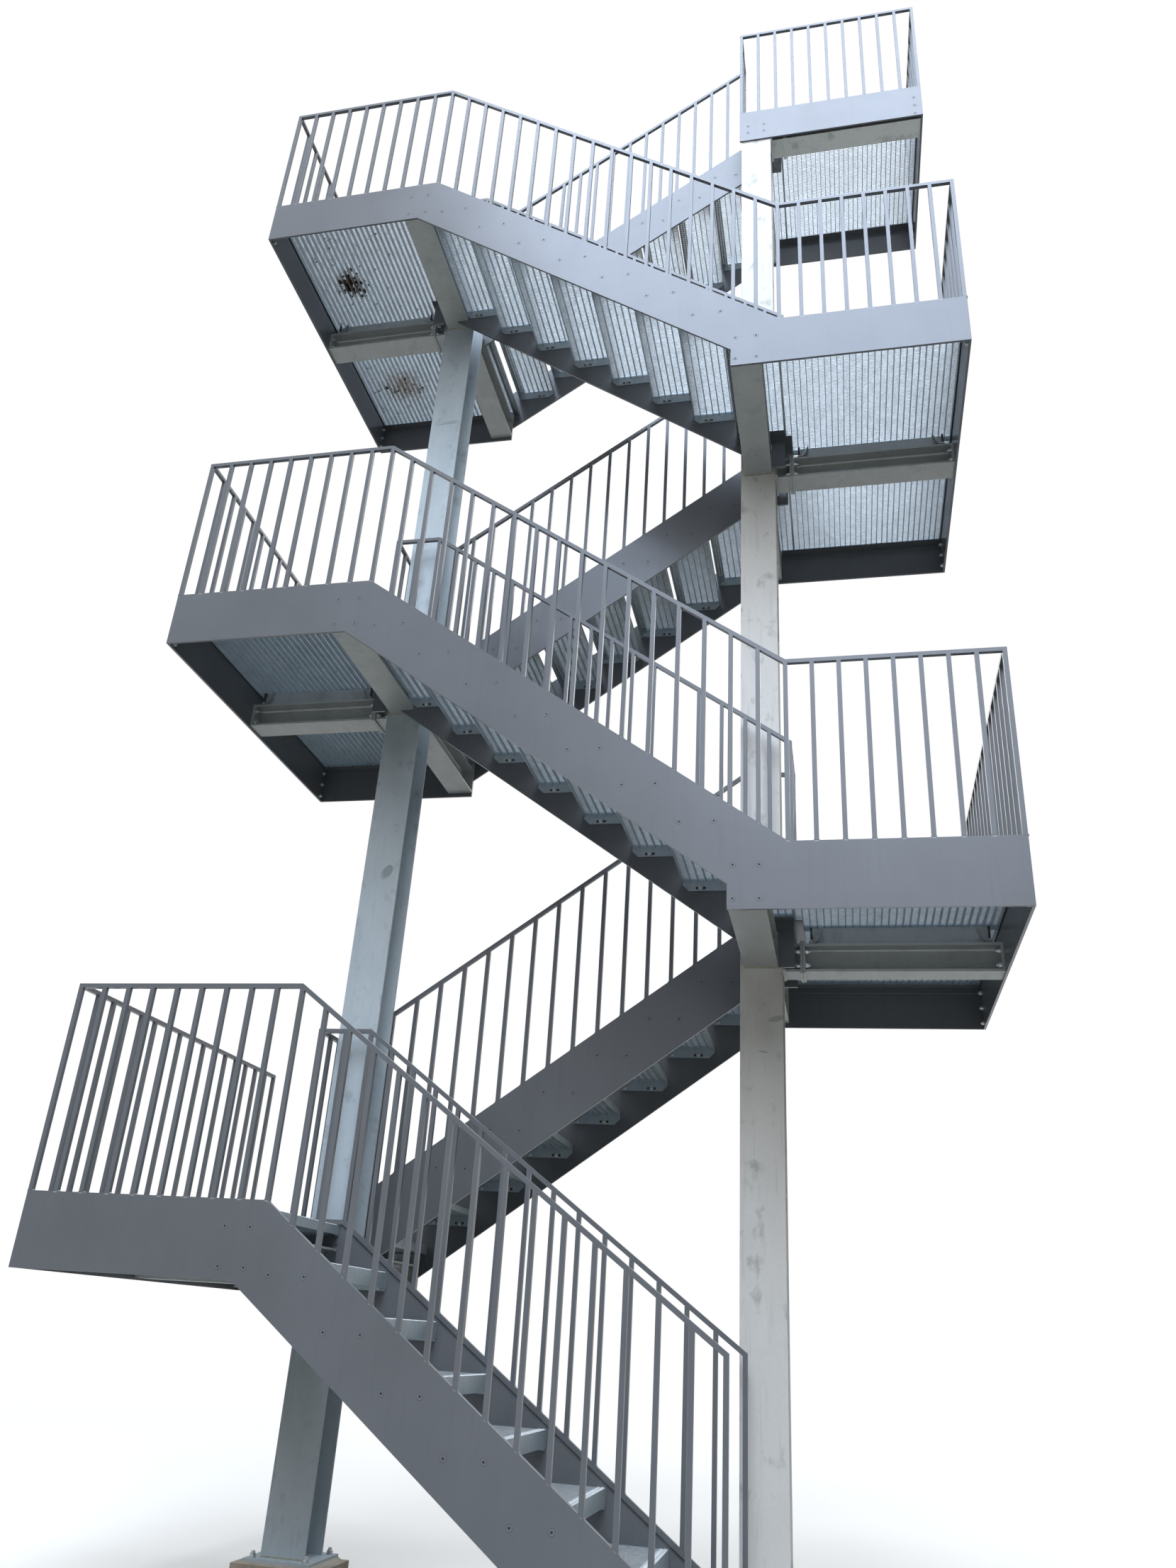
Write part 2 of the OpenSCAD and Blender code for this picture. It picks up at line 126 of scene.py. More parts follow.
@dataclass
class StairPlan:
    """Sizes of the stair in millimetres, as its solids have them."""

    flights: int = 6
    risers: int = 8
    riser: float = 187.5
    going: float = 260.0
    tread_len: float = 800.0
    well: float = 330.0
    kink_a: float = 1089.0
    landing_right: float = 951.0
    rear_shift: float = 283.0
    well_inset: float = 14.0
    nosing_lap: float = 10.0
    nose_set: float = 22.0
    stringer_h: float = 300.0
    stringer_t: float = 12.0
    upstand: float = 25.0
    deck_h: float = 40.0
    arm_w: float = 160.0
    arm_h: float = 152.0
    arm_drop: float = 250.0
    beam_w: float = 140.0
    beam_h: float = 140.0
    beam_drop: float = 265.0
    cap_t: float = 12.0
    seat_w: float = 80.0
    seat_end: float = 62.0
    seat_col: float = 145.0
    splice_gap: float = 84.0
    splice_t: float = 24.0
    splice_over: float = 10.0
    col_w: float = 200.0
    col_d: float = 190.0
    col_setback: float = 107.0
    head_gap: float = 0.5
    rail_bar: float = 20.0
    rail_pitch: float = 121.0

    def __post_init__(self) -> None:
        """Works out the sizes that follow from these."""
        self.slope = self.riser / self.going
        self.run = self.risers * self.going
        self.rise = self.risers * self.riser
        # bends of the stringers are kink_a at the upper landing and kink_l at the lower one
        self.kink_l = self.kink_a + self.run
        self.total_x = self.kink_l + self.landing_right
        self.flight_w = self.tread_len + 2 * self.stringer_t
        self.total_y = 2 * self.flight_w + self.well
        self.mid_y = self.total_y / 2
        self.col_front = self.mid_y - self.col_d / 2
        self.col_rear = self.mid_y + self.col_d / 2
        # sum of the X of a point on a front flight and of its twin on a rear one
        self.turn_x = self.kink_a + self.kink_l - self.rear_shift
        # ends of the inner stringers at the well, upper and lower
        self.well_a = self.turn_x - self.kink_l + self.well_inset
        self.well_l = self.turn_x - self.well_a
        # middles of the arms, and the face of the plate beside the right column's head
        self.arm_x = self.kink_a - self.col_setback
        self.arm_low_x = self.turn_x - self.arm_x
        self.head_x = self.arm_x + self.col_w / 2 + self.head_gap
        self.splice_x = self.arm_x - self.col_w / 2 - self.splice_gap
        self.beam_low = -self.upstand - self.beam_drop
        self.beam_top = self.beam_low + self.beam_h
        # edges of a landing, where a flight comes up to it and where the next one leaves it
        self.tread_depth = self.going + self.nosing_lap
        self.land_nose = self.kink_a - self.nose_set
        self.dep_nose = self.turn_x - self.land_nose - self.run + self.tread_depth
        # balusters along a flight, and the lower end of the lowest one
        self.slope_bays = round(self.run / self.rail_pitch)
        self.bay = self.run / self.slope_bays
        self.first_end = self.kink_a + (self.slope_bays - 2) * self.bay + self.rail_bar / 2

    def end_a(self, k: int) -> float:
        """Returns the end of the landing on which flight k arrives."""
        return 0.0 if k % 2 else self.turn_x - self.total_x

    def treads(self) -> Iterator[tuple[float, float]]:
        """Yields the front edge and the top of each tread of a flight, from the uppermost."""
        for i in range(1, self.risers):
            yield self.land_nose + i * self.going, -self.upstand - i * self.riser

    def ground(self) -> Matrix:
        """Returns the matrix from millimetres off the footprint's corner to the model."""
        return Matrix.Scale(MM, 4) @ Matrix.Translation((-self.total_x / 2, -self.total_y / 2, 0))

    def flight(self, k: int) -> Matrix:
        """Places a front flight, drawn from its upper plate edge, as flight k.

        Args:
            k: number of the flight, from 1.

        Returns:
            The matrix from millimetres of the flight to metres of the model.
        """
        turned = Matrix()
        if k % 2 == 0:
            turned = Matrix.Translation((self.turn_x, self.total_y, 0)) @ Matrix.Rotation(math.pi, 4, "Z")
        return self.ground() @ Matrix.Translation((0, 0, k * self.rise + self.upstand)) @ turned

    def edge_z(self, x: float) -> float:
        """Returns the height of the bent plate edge at x."""
        return -self.slope * min(max(x - self.kink_a, 0.0), self.run)


PLAN = StairPlan()


# Finishes


@dataclass(frozen=True)
class Finish:
    """A finish, whose material is made once and then handed out again."""

    name: str

    made: ClassVar[dict[str, bpy.types.Material]] = {}

    def material(self) -> bpy.types.Material:
        """Makes the material on the first call.

        Returns:
            The finish's material.
        """
        if self.name not in Finish.made:
            material = bpy.data.materials.new(self.name)
            tree = emptied(material)
            shader = add_node(tree, "ShaderNodeBsdfPrincipled", self.look(tree))
            add_node(tree, "ShaderNodeOutputMaterial", {"Surface": shader})
            Finish.made[self.name] = material
        return Finish.made[self.name]

    def look(self, tree: Tree) -> dict[str, object]:
        """Returns what goes into the shader, by the names of its inputs."""
        raise NotImplementedError


def noise(tree: Tree, size_mm: float, stretch: Point = (1, 1, 1), detail: float = 3.0,
          low: float = 0.35, high: float = 0.65) -> Node:
    """Cloudy pattern in the model's own coordinates, spread to run from 0 to 1.

    Args:
        tree: the material's node tree.
        size_mm: size of a cloud.
        stretch: how many times longer a cloud is along X, Y and Z.
        detail: number of finer layers.
        low: value of the noise that becomes 0.
        high: value of the noise that becomes 1.

    Returns:
        The pattern's node.
    """
    place = add_node(tree, "ShaderNodeTexCoord").outputs["Object"]
    drawn = add_node(tree, "ShaderNodeVectorMath", {0: place, 1: tuple(1 / s for s in stretch)},
                     operation="MULTIPLY")
    cloud = add_node(tree, "ShaderNodeTexNoise", {"Vector": drawn, "Scale": 1 / (size_mm * MM),
                                                  "Detail": detail, "Roughness": 0.55})
    return add_node(tree, "ShaderNodeMapRange", {"Value": cloud, "From Min": low, "From Max": high})


def upward(tree: Tree) -> Node:
    """Pattern of the faces that look up, where dust and rain lie and zinc is painted lit from above.

    Args:
        tree: the material's node tree.

    Returns:
        The pattern's node, 1 on such faces and 0 elsewhere.
    """
    normal = add_node(tree, "ShaderNodeNewGeometry").outputs["Normal"]
    height = add_node(tree, "ShaderNodeSeparateXYZ", {0: normal}).outputs["Z"]
    return add_node(tree, "ShaderNodeMapRange", {"Value": height, "From Min": 0.4, "From Max": 0.95})


def overlaid(tree: Tree, under: str, *layers: tuple[str, Node | Socket, float]) -> Socket:
    """Lays colours over another, each as far as its pattern says.

    Args:
        tree: the node tree of the material or world.
        under: the lowest colour in hex digits.
        layers: colour, pattern from 0 to 1, and how much of the colour lies where it is 1.

    Returns:
        The resulting colour's socket.
    """
    colour = linear(under)
    for over, pattern, share in layers:
        amount = add_node(tree, "ShaderNodeMath", {0: pattern, 1: share}, operation="MULTIPLY")
        colour = add_node(tree, "ShaderNodeMix", {0: amount, 6: colour, 7: linear(over)},
                          data_type="RGBA").outputs[2]
    return colour


@dataclass(frozen=True)
class PowderCoat(Finish):
    """Polyester powder coat, sprayed on steel plate and baked.

    It gives the eye an even mid grey with a satin sheen, faint wide clouds, dried rain on
    what looks up and a fine orange peel in the highlights. The sheen is tinted blue, a
    painted reflection of an open sky.
    """

    tone: str = "616467"
    pale: str = "6e7175"
    deep: str = "56585b"
    dust: str = "939695"
    sky_blue_sheen: str = "e2edff"
    peel_mm: float = 4.0
    speck_mm: float = 9.0
    run_mm: float = 30.0
    dust_mm: float = 60.0
    gloss_mm: float = 140.0
    cloud_mm: float = 520.0

    def look(self, tree: Tree) -> dict[str, object]:
        """Builds the patterns.

        Args:
            tree: the material's node tree.

        Returns:
            What goes into the shader, by the names of its inputs.
        """
        runs = noise(tree, self.run_mm, (1, 1, 18), 2.0, 0.54, 0.8)
        specks = noise(tree, self.speck_mm, low=0.7, high=0.76)
        film = noise(tree, self.dust_mm, detail=4.0, low=0.2, high=0.8)
        lying = add_node(tree, "ShaderNodeMath", {0: upward(tree), 1: film}, operation="MULTIPLY")
        colour = overlaid(tree, self.tone, (self.pale, noise(tree, self.cloud_mm), 0.5),
                          (self.deep, runs, 0.22), (self.dust, specks, 0.35), (self.dust, lying, 0.55))
        # 4 mm peel, about twice the real one, so that it still shows
        peel = add_node(tree, "ShaderNodeBump", {"Height": noise(tree, self.peel_mm, detail=1.0),
                                                 "Strength": 0.05, "Distance": 0.0004})
        rough = add_node(tree, "ShaderNodeMapRange", {"Value": noise(tree, self.gloss_mm),
                                                      "To Min": 0.28, "To Max": 0.31})
        # the blue specular tint is a painted reflection of the open sky
        return {"Base Color": colour, "Roughness": rough, "Specular Tint": linear(self.sky_blue_sheen),
                "Normal": peel}


@dataclass(frozen=True)
class HotDipZinc(Finish):
    """Hot-dip galvanised rolled steel, weathered outdoors.

    It gives the eye an even dull grey with soft wide clouds, faint crystals and a few darker
    scuffs drawn down the section. Its faces that look up can be made paler, partly by trodden
    wear and partly as painted light from the sky above, and it can be stained in spots that are
    given as X, Y, Z and radius in metres of the model.
    """

    tone: str = "9ca3a6"
    chalk: str = "bcc3c6"
    rubbed: str = "7f868a"
    worn_and_lit_top: str = "eef3f6"
    stain: str = "655540"
    relief_mm: float = 7.0
    spangle_mm: float = 12.0
    ragged_mm: float = 32.0
    run_mm: float = 38.0
    smudge_mm: float = 95.0
    cloud_mm: float = 160.0
    run_stretch: float = 3.0
    cloud_share: float = 0.55
    rub_share: float = 0.4
    spangle_share: float = 0.06
    smudge_share: float = 0.0
    worn_and_lit_top_share: float = 0.0
    stains: tuple[tuple[float, float, float, float], ...] = ()
    metal: float = 0.2
    gloss: float = 0.52

    def look(self, tree: Tree) -> dict[str, object]:
        """Builds the patterns.

        Args:
            tree: the material's node tree.

        Returns:
            What goes into the shader, by the names of its inputs.
        """
        place = add_node(tree, "ShaderNodeTexCoord").outputs["Object"]
        crystals = add_node(tree, "ShaderNodeTexVoronoi",
                            {"Vector": place, "Scale": 1 / (self.spangle_mm * MM)})
        grain = add_node(tree, "ShaderNodeSeparateColor", {0: crystals.outputs["Color"]})
        clouds = noise(tree, self.cloud_mm, (1, 1, 2.2), low=0.3, high=0.7)
        rubs = noise(tree, self.run_mm, (1, 1, self.run_stretch), 4.0, 0.56, 0.74)
        smudges = noise(tree, self.smudge_mm, (1, 1, 1.4), 6.0, 0.57, 0.68)
        # the layer on the faces that look up is trodden wear and painted light from above
        layers = [(self.chalk, clouds, self.cloud_share), (self.rubbed, rubs, self.rub_share),
                  (self.rubbed, grain, self.spangle_share), (self.rubbed, smudges, self.smudge_share),
                  (self.worn_and_lit_top, upward(tree), self.worn_and_lit_top_share)]
        layers += [(self.stain, self.blot(tree, place, middle, radius), 1.0)
                   for *middle, radius in self.stains]
        colour = overlaid(tree, self.tone, *(layer for layer in layers if layer[2]))
        rough = add_node(tree, "ShaderNodeMapRange", {"Value": grain, "To Min": self.gloss - 0.05,
                                                      "To Max": self.gloss + 0.06})
        # zinc runs of a few millimetres, shallow enough to show only in grazing light
        relief = add_node(tree, "ShaderNodeBump", {"Height": noise(tree, self.relief_mm, (1, 1, 2), 2.0),
                                                   "Strength": 0.07, "Distance": 0.0005})
        return {"Base Color": colour, "Roughness": rough, "Metallic": self.metal, "Normal": relief}

    def blot(self, tree: Tree, place: Socket, middle: Point, radius: float) -> Node:
        """Pattern of one ragged round stain.

        Args:
            tree: the material's node tree.
            place: where a point of the surface is.
            middle: the stain's middle in metres.
            radius: its radius in metres.

        Returns:
            The pattern's node.
        """
        away = add_node(tree, "ShaderNodeVectorMath", {0: place, 1: middle}, operation="DISTANCE")
        ragged = add_node(tree, "ShaderNodeMath",
                          {0: noise(tree, self.ragged_mm, detail=5.0), 1: radius,
                           2: away.outputs["Value"]}, operation="MULTIPLY_ADD")
        return add_node(tree, "ShaderNodeMapRange",
                        {"Value": ragged, "From Min": radius * 0.6, "From Max": radius * 1.6,
                         "To Min": 0.85, "To Max": 0.0})


@dataclass(frozen=True)
class Mottled(Finish):
    """A dull finish of two tones, for what is too small or too plain to need more."""

    tone: str
    other: str
    mottle_mm: float = 3.0
    detail: float = 3.0
    low: float = 0.35
    high: float = 0.65
    pit_mm: float = 3.0
    pits: float = 0.0
    pit_depth: float = 0.001
    rough: float = 0.8

    def look(self, tree: Tree) -> dict[str, object]:
        """Builds the patterns.

        Args:
            tree: the material's node tree.

        Returns:
            What goes into the shader, by the names of its inputs.
        """
        mottle = noise(tree, self.mottle_mm, detail=self.detail, low=self.low, high=self.high)
        look = {"Base Color": overlaid(tree, self.tone, (self.other, mottle, 1.0)),
                "Roughness": self.rough}
        if self.pits:
            look["Normal"] = add_node(tree, "ShaderNodeBump", {"Height": noise(tree, self.pit_mm),
                                                               "Strength": self.pits,
                                                               "Distance": self.pit_depth})
        return look


@dataclass(frozen=True)
class SiteWeld(Mottled):
    """Weld bead laid on galvanised steel and brushed over with zinc paint.

    It gives the eye a pale sandy seam, a little warmer and duller than the section.
    """

    tone: str = "a9a793"
    other: str = "7d7a6c"
    mottle_mm: float = 6.0
    low: float = 0.45
    high: float = 0.7
    pits: float = 0.4
    pit_depth: float = 0.0008
    rough: float = 0.62


@dataclass(frozen=True)
class DriedDirt(Mottled):
    """Dirt and rotted leaves, dried on a grating.

    It gives the eye a crumbly black-brown patch.
    """

    tone: str = "35302a"
    other: str = "5f5142"
    mottle_mm: float = 4.0
    detail: float = 4.0
    low: float = 0.45
    high: float = 0.7
    pits: float = 0.8
    rough: float = 0.95


@dataclass(frozen=True)
class ShadowGap(Mottled):
    """Unlit gap of a socket, a slot or a rim, with old oil in it.

    It gives the eye a near-black spot with a little brown dirt.
    """

    tone: str = "1f2224"
    other: str = "37342f"


@dataclass(frozen=True)
class CastConcrete(Finish):
    """Concrete cast in place, rubbed down and weathered.

    It gives the eye a sandy warm grey with pores, darker damp patches and pale laitance.
    """

    tone: str = "a79d8c"
    damp: str = "8c8375"
    pale: str = "c0b8a8"
    pore_mm: float = 5.0
    damp_mm: float = 70.0
    pale_mm: float = 110.0

    def look(self, tree: Tree) -> dict[str, object]:
        """Builds the patterns.

        Args:
            tree: the material's node tree.

        Returns:
            What goes into the shader, by the names of its inputs.
        """
        clouds = noise(tree, self.pale_mm, detail=5.0)
        patches = noise(tree, self.damp_mm, (1, 1, 2), 4.0, 0.5, 0.75)
        pores = noise(tree, self.pore_mm, detail=2.0, low=0.62, high=0.7)
        colour = overlaid(tree, self.tone, (self.pale, clouds, 1.0), (self.damp, patches, 0.7),
                          (self.damp, pores, 0.5))
        relief = add_node(tree, "ShaderNodeBump", {"Height": noise(tree, self.pore_mm, detail=4.0),
                                                   "Strength": 0.5, "Distance": 0.001})
        return {"Base Color": colour, "Roughness": 0.9, "Normal": relief}


COAT = PowderCoat("powder_coated_steel_satin")
# Pale coat for the spots under the balusters: painted highlights where the ground welds catch light.
WELD_HIGHLIGHT_COAT = PowderCoat("powder_coat_painted_weld_highlight", "94979a", "a8abac", "808386", "b0b2b0")
SCREW_COAT = PowderCoat("powder_coated_socket_screw", "696d71", "787c80", "5b5f63", "8c8f90")
# The columns are one zinc in a shaded and a lit copy: the left one is painted darker as shade, the right
# one paler as light.
SHADED_COLUMN_ZINC = HotDipZinc("hot_dip_galvanised_column_painted_shade", "b5c2ca", "c6d1d8", "8c979d", run_mm=24.0,
                       run_stretch=14.0, cloud_share=0.7, rub_share=0.25, smudge_share=0.5,
                       metal=0.0, gloss=0.7)
LIT_COLUMN_ZINC = replace(SHADED_COLUMN_ZINC, name="hot_dip_galvanised_column_painted_light", tone="dadad8",
                      chalk="e2e3e1", rubbed="a9aaa7", rub_share=0.3, smudge_share=0.7, gloss=0.85)
BEAM_ZINC = HotDipZinc("hot_dip_galvanised_section", "a6abab", "b9bebf", "8b9090", rub_share=0.3,
                       smudge_share=0.35)
# A paler copy of the beams' zinc for the top landing: painted light for the brighter light up there.
LIT_TOP_BEAM_ZINC = HotDipZinc("hot_dip_galvanised_section_painted_light", "d2d8d8", "dde2e2", "a8aeae",
                        rub_share=0.3, smudge_share=0.7)
SEAT_ZINC = HotDipZinc("hot_dip_galvanised_seat_tube", "a5adb1", "bbc3c6", "8c9498", smudge_share=0.5)
GRATE_ZINC = HotDipZinc("hot_dip_galvanised_pressed_grating", "98a6ae", "b1bdc4", "828d93",
                        spangle_mm=9.0, cloud_mm=90.0, spangle_share=0.12, metal=0.3, gloss=0.42)
# The cross bars and nosings are paler on their faces that look up: trodden wear and painted light from the
# sky above.
MESH_ZINC = HotDipZinc("hot_dip_galvanised_cross_bar", "aeb5b8", "ccd3d6", "7f8589",
                       spangle_mm=8.0, cloud_mm=45.0, spangle_share=0.45, worn_and_lit_top_share=0.5, gloss=0.42)
NOSING_ZINC = replace(MESH_ZINC, name="trodden_and_lit_top_nosing_zinc", worn_and_lit_top_share=0.95, gloss=0.36)
STAINED_LANDING = 5
STAINS = ((-1.798, -0.367, 7.5, 0.105), (-1.76, 0.586, 7.5, 0.165))
STAINED_GRATE = replace(GRATE_ZINC, name="stained_pressed_grating", stains=STAINS)
STAINED_MESH = replace(MESH_ZINC, name="stained_cross_bar", stains=STAINS)
SCUFF = HotDipZinc("rubbed_zinc", "8f9a9f", "9ca6ab", "838d92", metal=0.0, gloss=0.6)
FAINT_SCUFF = HotDipZinc("faintly_rubbed_zinc", "a3aeb4", "aeb8bd", "98a2a7", metal=0.0, gloss=0.65)
PALE_SCUFF = HotDipZinc("rubbed_bright_zinc", "b3b4af", "c0c1bc", "a6a7a2", metal=0.0, gloss=0.7)
BOLT_ZINC = HotDipZinc("zinc_plated_fastener_steel", "a4a9ab", "bfc4c6", "84898c",
                       spangle_mm=4.0, cloud_mm=9.0, run_mm=6.0, metal=0.6, gloss=0.4)
WELD = SiteWeld("zinc_painted_weld_bead")
DIRT = DriedDirt("dried_dirt_on_grating")
CONCRETE = CastConcrete("cast_concrete_plinth")
MORTAR = CastConcrete("levelling_mortar", "b5b0a4", "9d978a", "c9c5ba", pore_mm=3.0)
# Near-black finishes of gaps: at sockets, slots, studs and screw rims they are painted shade.
GAP = ShadowGap("dark_socket_gap")
RIM_SHADE = ShadowGap("painted_shade_screw_rim", "3e4246", "4a4b4b")


# Mesh drafting


class Facing(Enum):
    """Direction in which a fixing looks, in the frame of its flight."""

    FRONT = (0, -1, 0)
    REAR = (0, 1, 0)
    LEFT = (-1, 0, 0)
    RIGHT = (1, 0, 0)
    UP = (0, 0, 1)


def aimed(at: Point, facing: Facing) -> Matrix:
    """Returns the matrix that places local Z along a direction."""
    return Matrix.Translation(at) @ Vector(facing.value).to_track_quat("Z", "Y").to_matrix().to_4x4()


def upright(at: Point) -> Matrix:
    """Returns the matrix that stands an outline of X and Z up, raised towards the front."""
    return Matrix.Translation(at) @ Matrix.Rotation(math.pi / 2, 4, "X")


def circle(radius: float, z: float, sides: int) -> list[Point]:
    """Returns the corners of a level ring, anticlockwise from above."""
    turns = [math.tau * i / sides for i in range(sides)]
    return [(radius * math.cos(a), radius * math.sin(a), z) for a in turns]


def ragged(chance: random.Random, half: Point, spread: Point, sides: int) -> list[Point]:
    """Draws an oval with an uneven edge about the origin.

    Args:
        chance: source of the unevenness.
        half: half width and half height.
        spread: least and greatest factor on them.
        sides: number of corners.

    Returns:
        X and Y of the corners.
    """
    corners = []
    for i in range(sides):
        angle, reach = math.tau * i / sides, chance.uniform(*spread)
        corners.append((half[0] * reach * math.cos(angle), half[1] * reach * math.sin(angle)))
    return corners


class MeshDraft:
    """Gathers many small solids in millimetres and hands them out as one mesh."""

    def __init__(self, place: Matrix, finish: Finish) -> None:
        """Starts empty.

        Args:
            place: matrix from the draft's millimetres to metres of the model.
            finish: the finish of all that is added without one.
        """
        self.place = place
        self.finishes = [finish]
        self.points: list[Vector] = []
        self.faces: list[tuple[int, ...]] = []
        self.marks: list[int] = []

    def loft(self, rings: Sequence[Sequence[Point]], finish: Finish | None = None,
             local: Matrix | None = None, closed: tuple[bool, bool] = (True, True)) -> None:
        """Joins rings that have as many corners each.

        Args:
            rings: the corners of each ring, anticlockwise as seen from the last ring.
            finish: the finish, where it isn't the draft's own.
            local: matrix from the corners to the draft's millimetres.
            closed: whether the first and the last ring are closed.
        """
        n, count, start = len(rings[0]), len(rings) - 1, len(self.points)
        place = self.place @ local if local else self.place
        self.points.extend(place @ Vector(p) for ring in rings for p in ring)
        faces = [(a + i, a + (i + 1) % n, a + n + (i + 1) % n, a + n + i)
                 for a in range(0, n * count, n) for i in range(n)]
        if closed[0]:
            faces.append(tuple(range(n - 1, -1, -1)))
        if closed[1]:
            faces.append(tuple(range(n * count, n * count + n)))
        self.faces.extend(tuple(start + i for i in face) for face in faces)
        if finish and finish not in self.finishes:
            self.finishes.append(finish)
        mark = self.finishes.index(finish) if finish else 0
        self.marks.extend([mark] * len(faces))

    def prism(self, outline: Sequence[Point], low: float, high: float, finish: Finish | None = None,
              local: Matrix | None = None) -> None:
        """Adds an anticlockwise outline of X and Y, raised along Z from low to high."""
        self.loft([[(x, y, z) for x, y in outline] for z in (low, high)], finish, local)

    def box(self, low: Point, high: Point, finish: Finish | None = None) -> None:
        """Adds a box between two corners."""
        (x0, y0, z0), (x1, y1, z1) = low, high
        self.prism([(x0, y0), (x1, y0), (x1, y1), (x0, y1)], z0, z1, finish)

    def turned(self, rings: Sequence[tuple[float, float, Finish]], sides: int, local: Matrix) -> None:
        """Adds a form turned about Z, closed at its last ring.

        Args:
            rings: radius, height and finish of each ring, from the rim to the middle.
            sides: number of sides.
            local: matrix from the form to the draft's millimetres.
        """
        for (r0, z0, finish), (r1, z1, _) in zip(rings, rings[1:]):
            self.loft([circle(r0, z0, sides), circle(r1, z1, sides)], finish, local, (False, False))
        radius, z, finish = rings[-1]
        if radius > 0:
            self.loft([circle(radius, z, sides)], finish, local, (False, True))

    def bead(self, start: Point, end: Point, radius: float) -> None:
        """Adds a rippled weld bead.

        Args:
            start: where it starts.
            end: where it ends.
            radius: its greatest radius.
        """
        along = Vector(end) - Vector(start)
        count = max(4, 2 * round(along.length / radius / 1.6))
        swells = [0.45, *(1.0 if i % 2 else 0.84 for i in range(1, count)), 0.45]
        rings = [circle(radius * swell, along.length * i / count, 8) for i, swell in enumerate(swells)]
        turn = along.to_track_quat("Z", "Y").to_matrix().to_4x4()
        self.loft(rings, WELD, Matrix.Translation(start) @ turn)

    def piece(self, name: str, slot: str) -> None:
        """Makes the mesh object, which rides on the stair's one body.

        Args:
            name: the piece's name.
            slot: the record's material slot, which is not used.
        """
        mesh = bpy.data.meshes.new(name)
        mesh.from_pydata([tuple(p) for p in self.points], [], self.faces)
        for finish in self.finishes:
            mesh.materials.append(finish.material())
        mesh.polygons.foreach_set("material_index", self.marks)
        mesh.update()
        made = placed(name, mesh)
        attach(made, "root")
        LOG.info("%s: %d faces", name, len(self.faces))


# Fixings


@dataclass(frozen=True)
class SocketScrew:
    """M12 countersunk socket screw, level with the plate that it holds, in millimetres."""

    rim_r: float = 12.6
    head_r: float = 11.7
    socket_r: float = 4.0
    proud: float = 0.7

    def add(self, draft: MeshDraft, at: Point, facing: Facing) -> None:
        """Adds the screw.

        Args:
            draft: where it goes.
            at: the middle of its head on the plate.
            facing: the way that the head looks.
        """
        top, sunk = self.proud, self.proud - 0.25
        # the ring round the head and the socket are painted shade of the rim gap and the socket
        draft.turned([(self.rim_r, 0.05, RIM_SHADE), (self.rim_r - 0.2, 0.3, RIM_SHADE), (self.head_r, 0.25, RIM_SHADE),
                      (self.head_r - 0.4, top, SCREW_COAT), (self.socket_r + 1.6, top, SCREW_COAT),
                      (self.socket_r + 1.0, sunk, GAP), (0.0, sunk, GAP)], 18, aimed(at, facing))


@dataclass(frozen=True)
class HexBolt:
    """Hexagon nut on a washer with the bolt's end through it, in millimetres."""

    across: float = 19.0
    height: float = 10.0
    washer_r: float = 12.0
    washer_t: float = 2.5
    thread_r: float = 6.0
    end: float = 5.0

    def add(self, draft: MeshDraft, at: Point, facing: Facing) -> None:
        """Adds the nut.

        Args:
            draft: where it goes.
            at: where its washer sits on the plate.
            facing: the way that the bolt's end points.
        """
        r, seat = self.across / math.sqrt(3), self.washer_t
        top, tip = seat + self.height, seat + self.height + self.end
        forms = ((18, (self.washer_r, 0.0), (self.washer_r, seat), (r * 0.8, seat)),
                 (6, (r, seat), (r, top - 1.0), (r * 0.88, top)),
                 (12, (self.thread_r, top - 0.5), (self.thread_r, tip - 1), (self.thread_r - 1, tip)))
        for sides, *rings in forms:
            draft.turned([(*ring, BOLT_ZINC) for ring in rings], sides, aimed(at, facing))


SCREW = SocketScrew()
M12 = HexBolt()
M16 = HexBolt(across=24.0, height=13.0, washer_r=15.0, washer_t=3.0, thread_r=8.0, end=9.0)


@dataclass
class FlightPart:
    """What is built once for each flight and the landing that it comes up to.

    X runs from the end of the front landing down the flight, Y from the open side to the
    wall, and Z is 0 at the upper edge of the landing's plates.
    """

    k: int

    finish: ClassVar[Finish] = BOLT_ZINC

    def __post_init__(self) -> None:
        """Starts the mesh at the flight's place."""
        self.draft = MeshDraft(PLAN.flight(self.k), self.finish)
        self.last = self.k == PLAN.flights
        self.end_x = PLAN.end_a(self.k)


@dataclass
class TreadFixings(FlightPart):
    """Screws through the stringers into the side plates of the treads, in millimetres."""

    front_set: float = 30.0
    spacing: float = 150.0
    drop: float = 61.5
    side_t: float = 4.0
    slot_half: float = 19.0
    slot_r: float = 7.0

    def slot(self) -> list[Point]:
        """Draws the long hole behind a nut.

        Returns:
            X and Y of its outline.
        """
        turns = [math.pi * i / 8 for i in range(9)]
        right = [(self.slot_half + self.slot_r * math.sin(a), -self.slot_r * math.cos(a)) for a in turns]
        return right + [(-x, -y) for x, y in right]

    def build(self) -> None:
        """Builds the screws and nuts of the flight."""
        inside, wide = PLAN.stringer_t + self.side_t, PLAN.flight_w
        sides = ((0.0, Facing.FRONT, inside, Facing.REAR), (wide, Facing.REAR, wide - inside, Facing.FRONT))
        for (front, top), side, back in product(PLAN.treads(), sides, (self.spacing, 0.0)):
            outer_y, outward, inner_y, inward = side
            x, z = front - self.front_set - back, top - self.drop
            SCREW.add(self.draft, (x, outer_y, z), outward)
            M12.add(self.draft, (x, inner_y, z), inward)
            if back:
                # a near-black sheet on the plate, painted shade of the long hole
                self.draft.prism(self.slot(), -0.5, 0.3, GAP, aimed((x, inner_y, z), inward))
        self.draft.piece(f"tread_fixings_{self.k}", "galvanised_section")


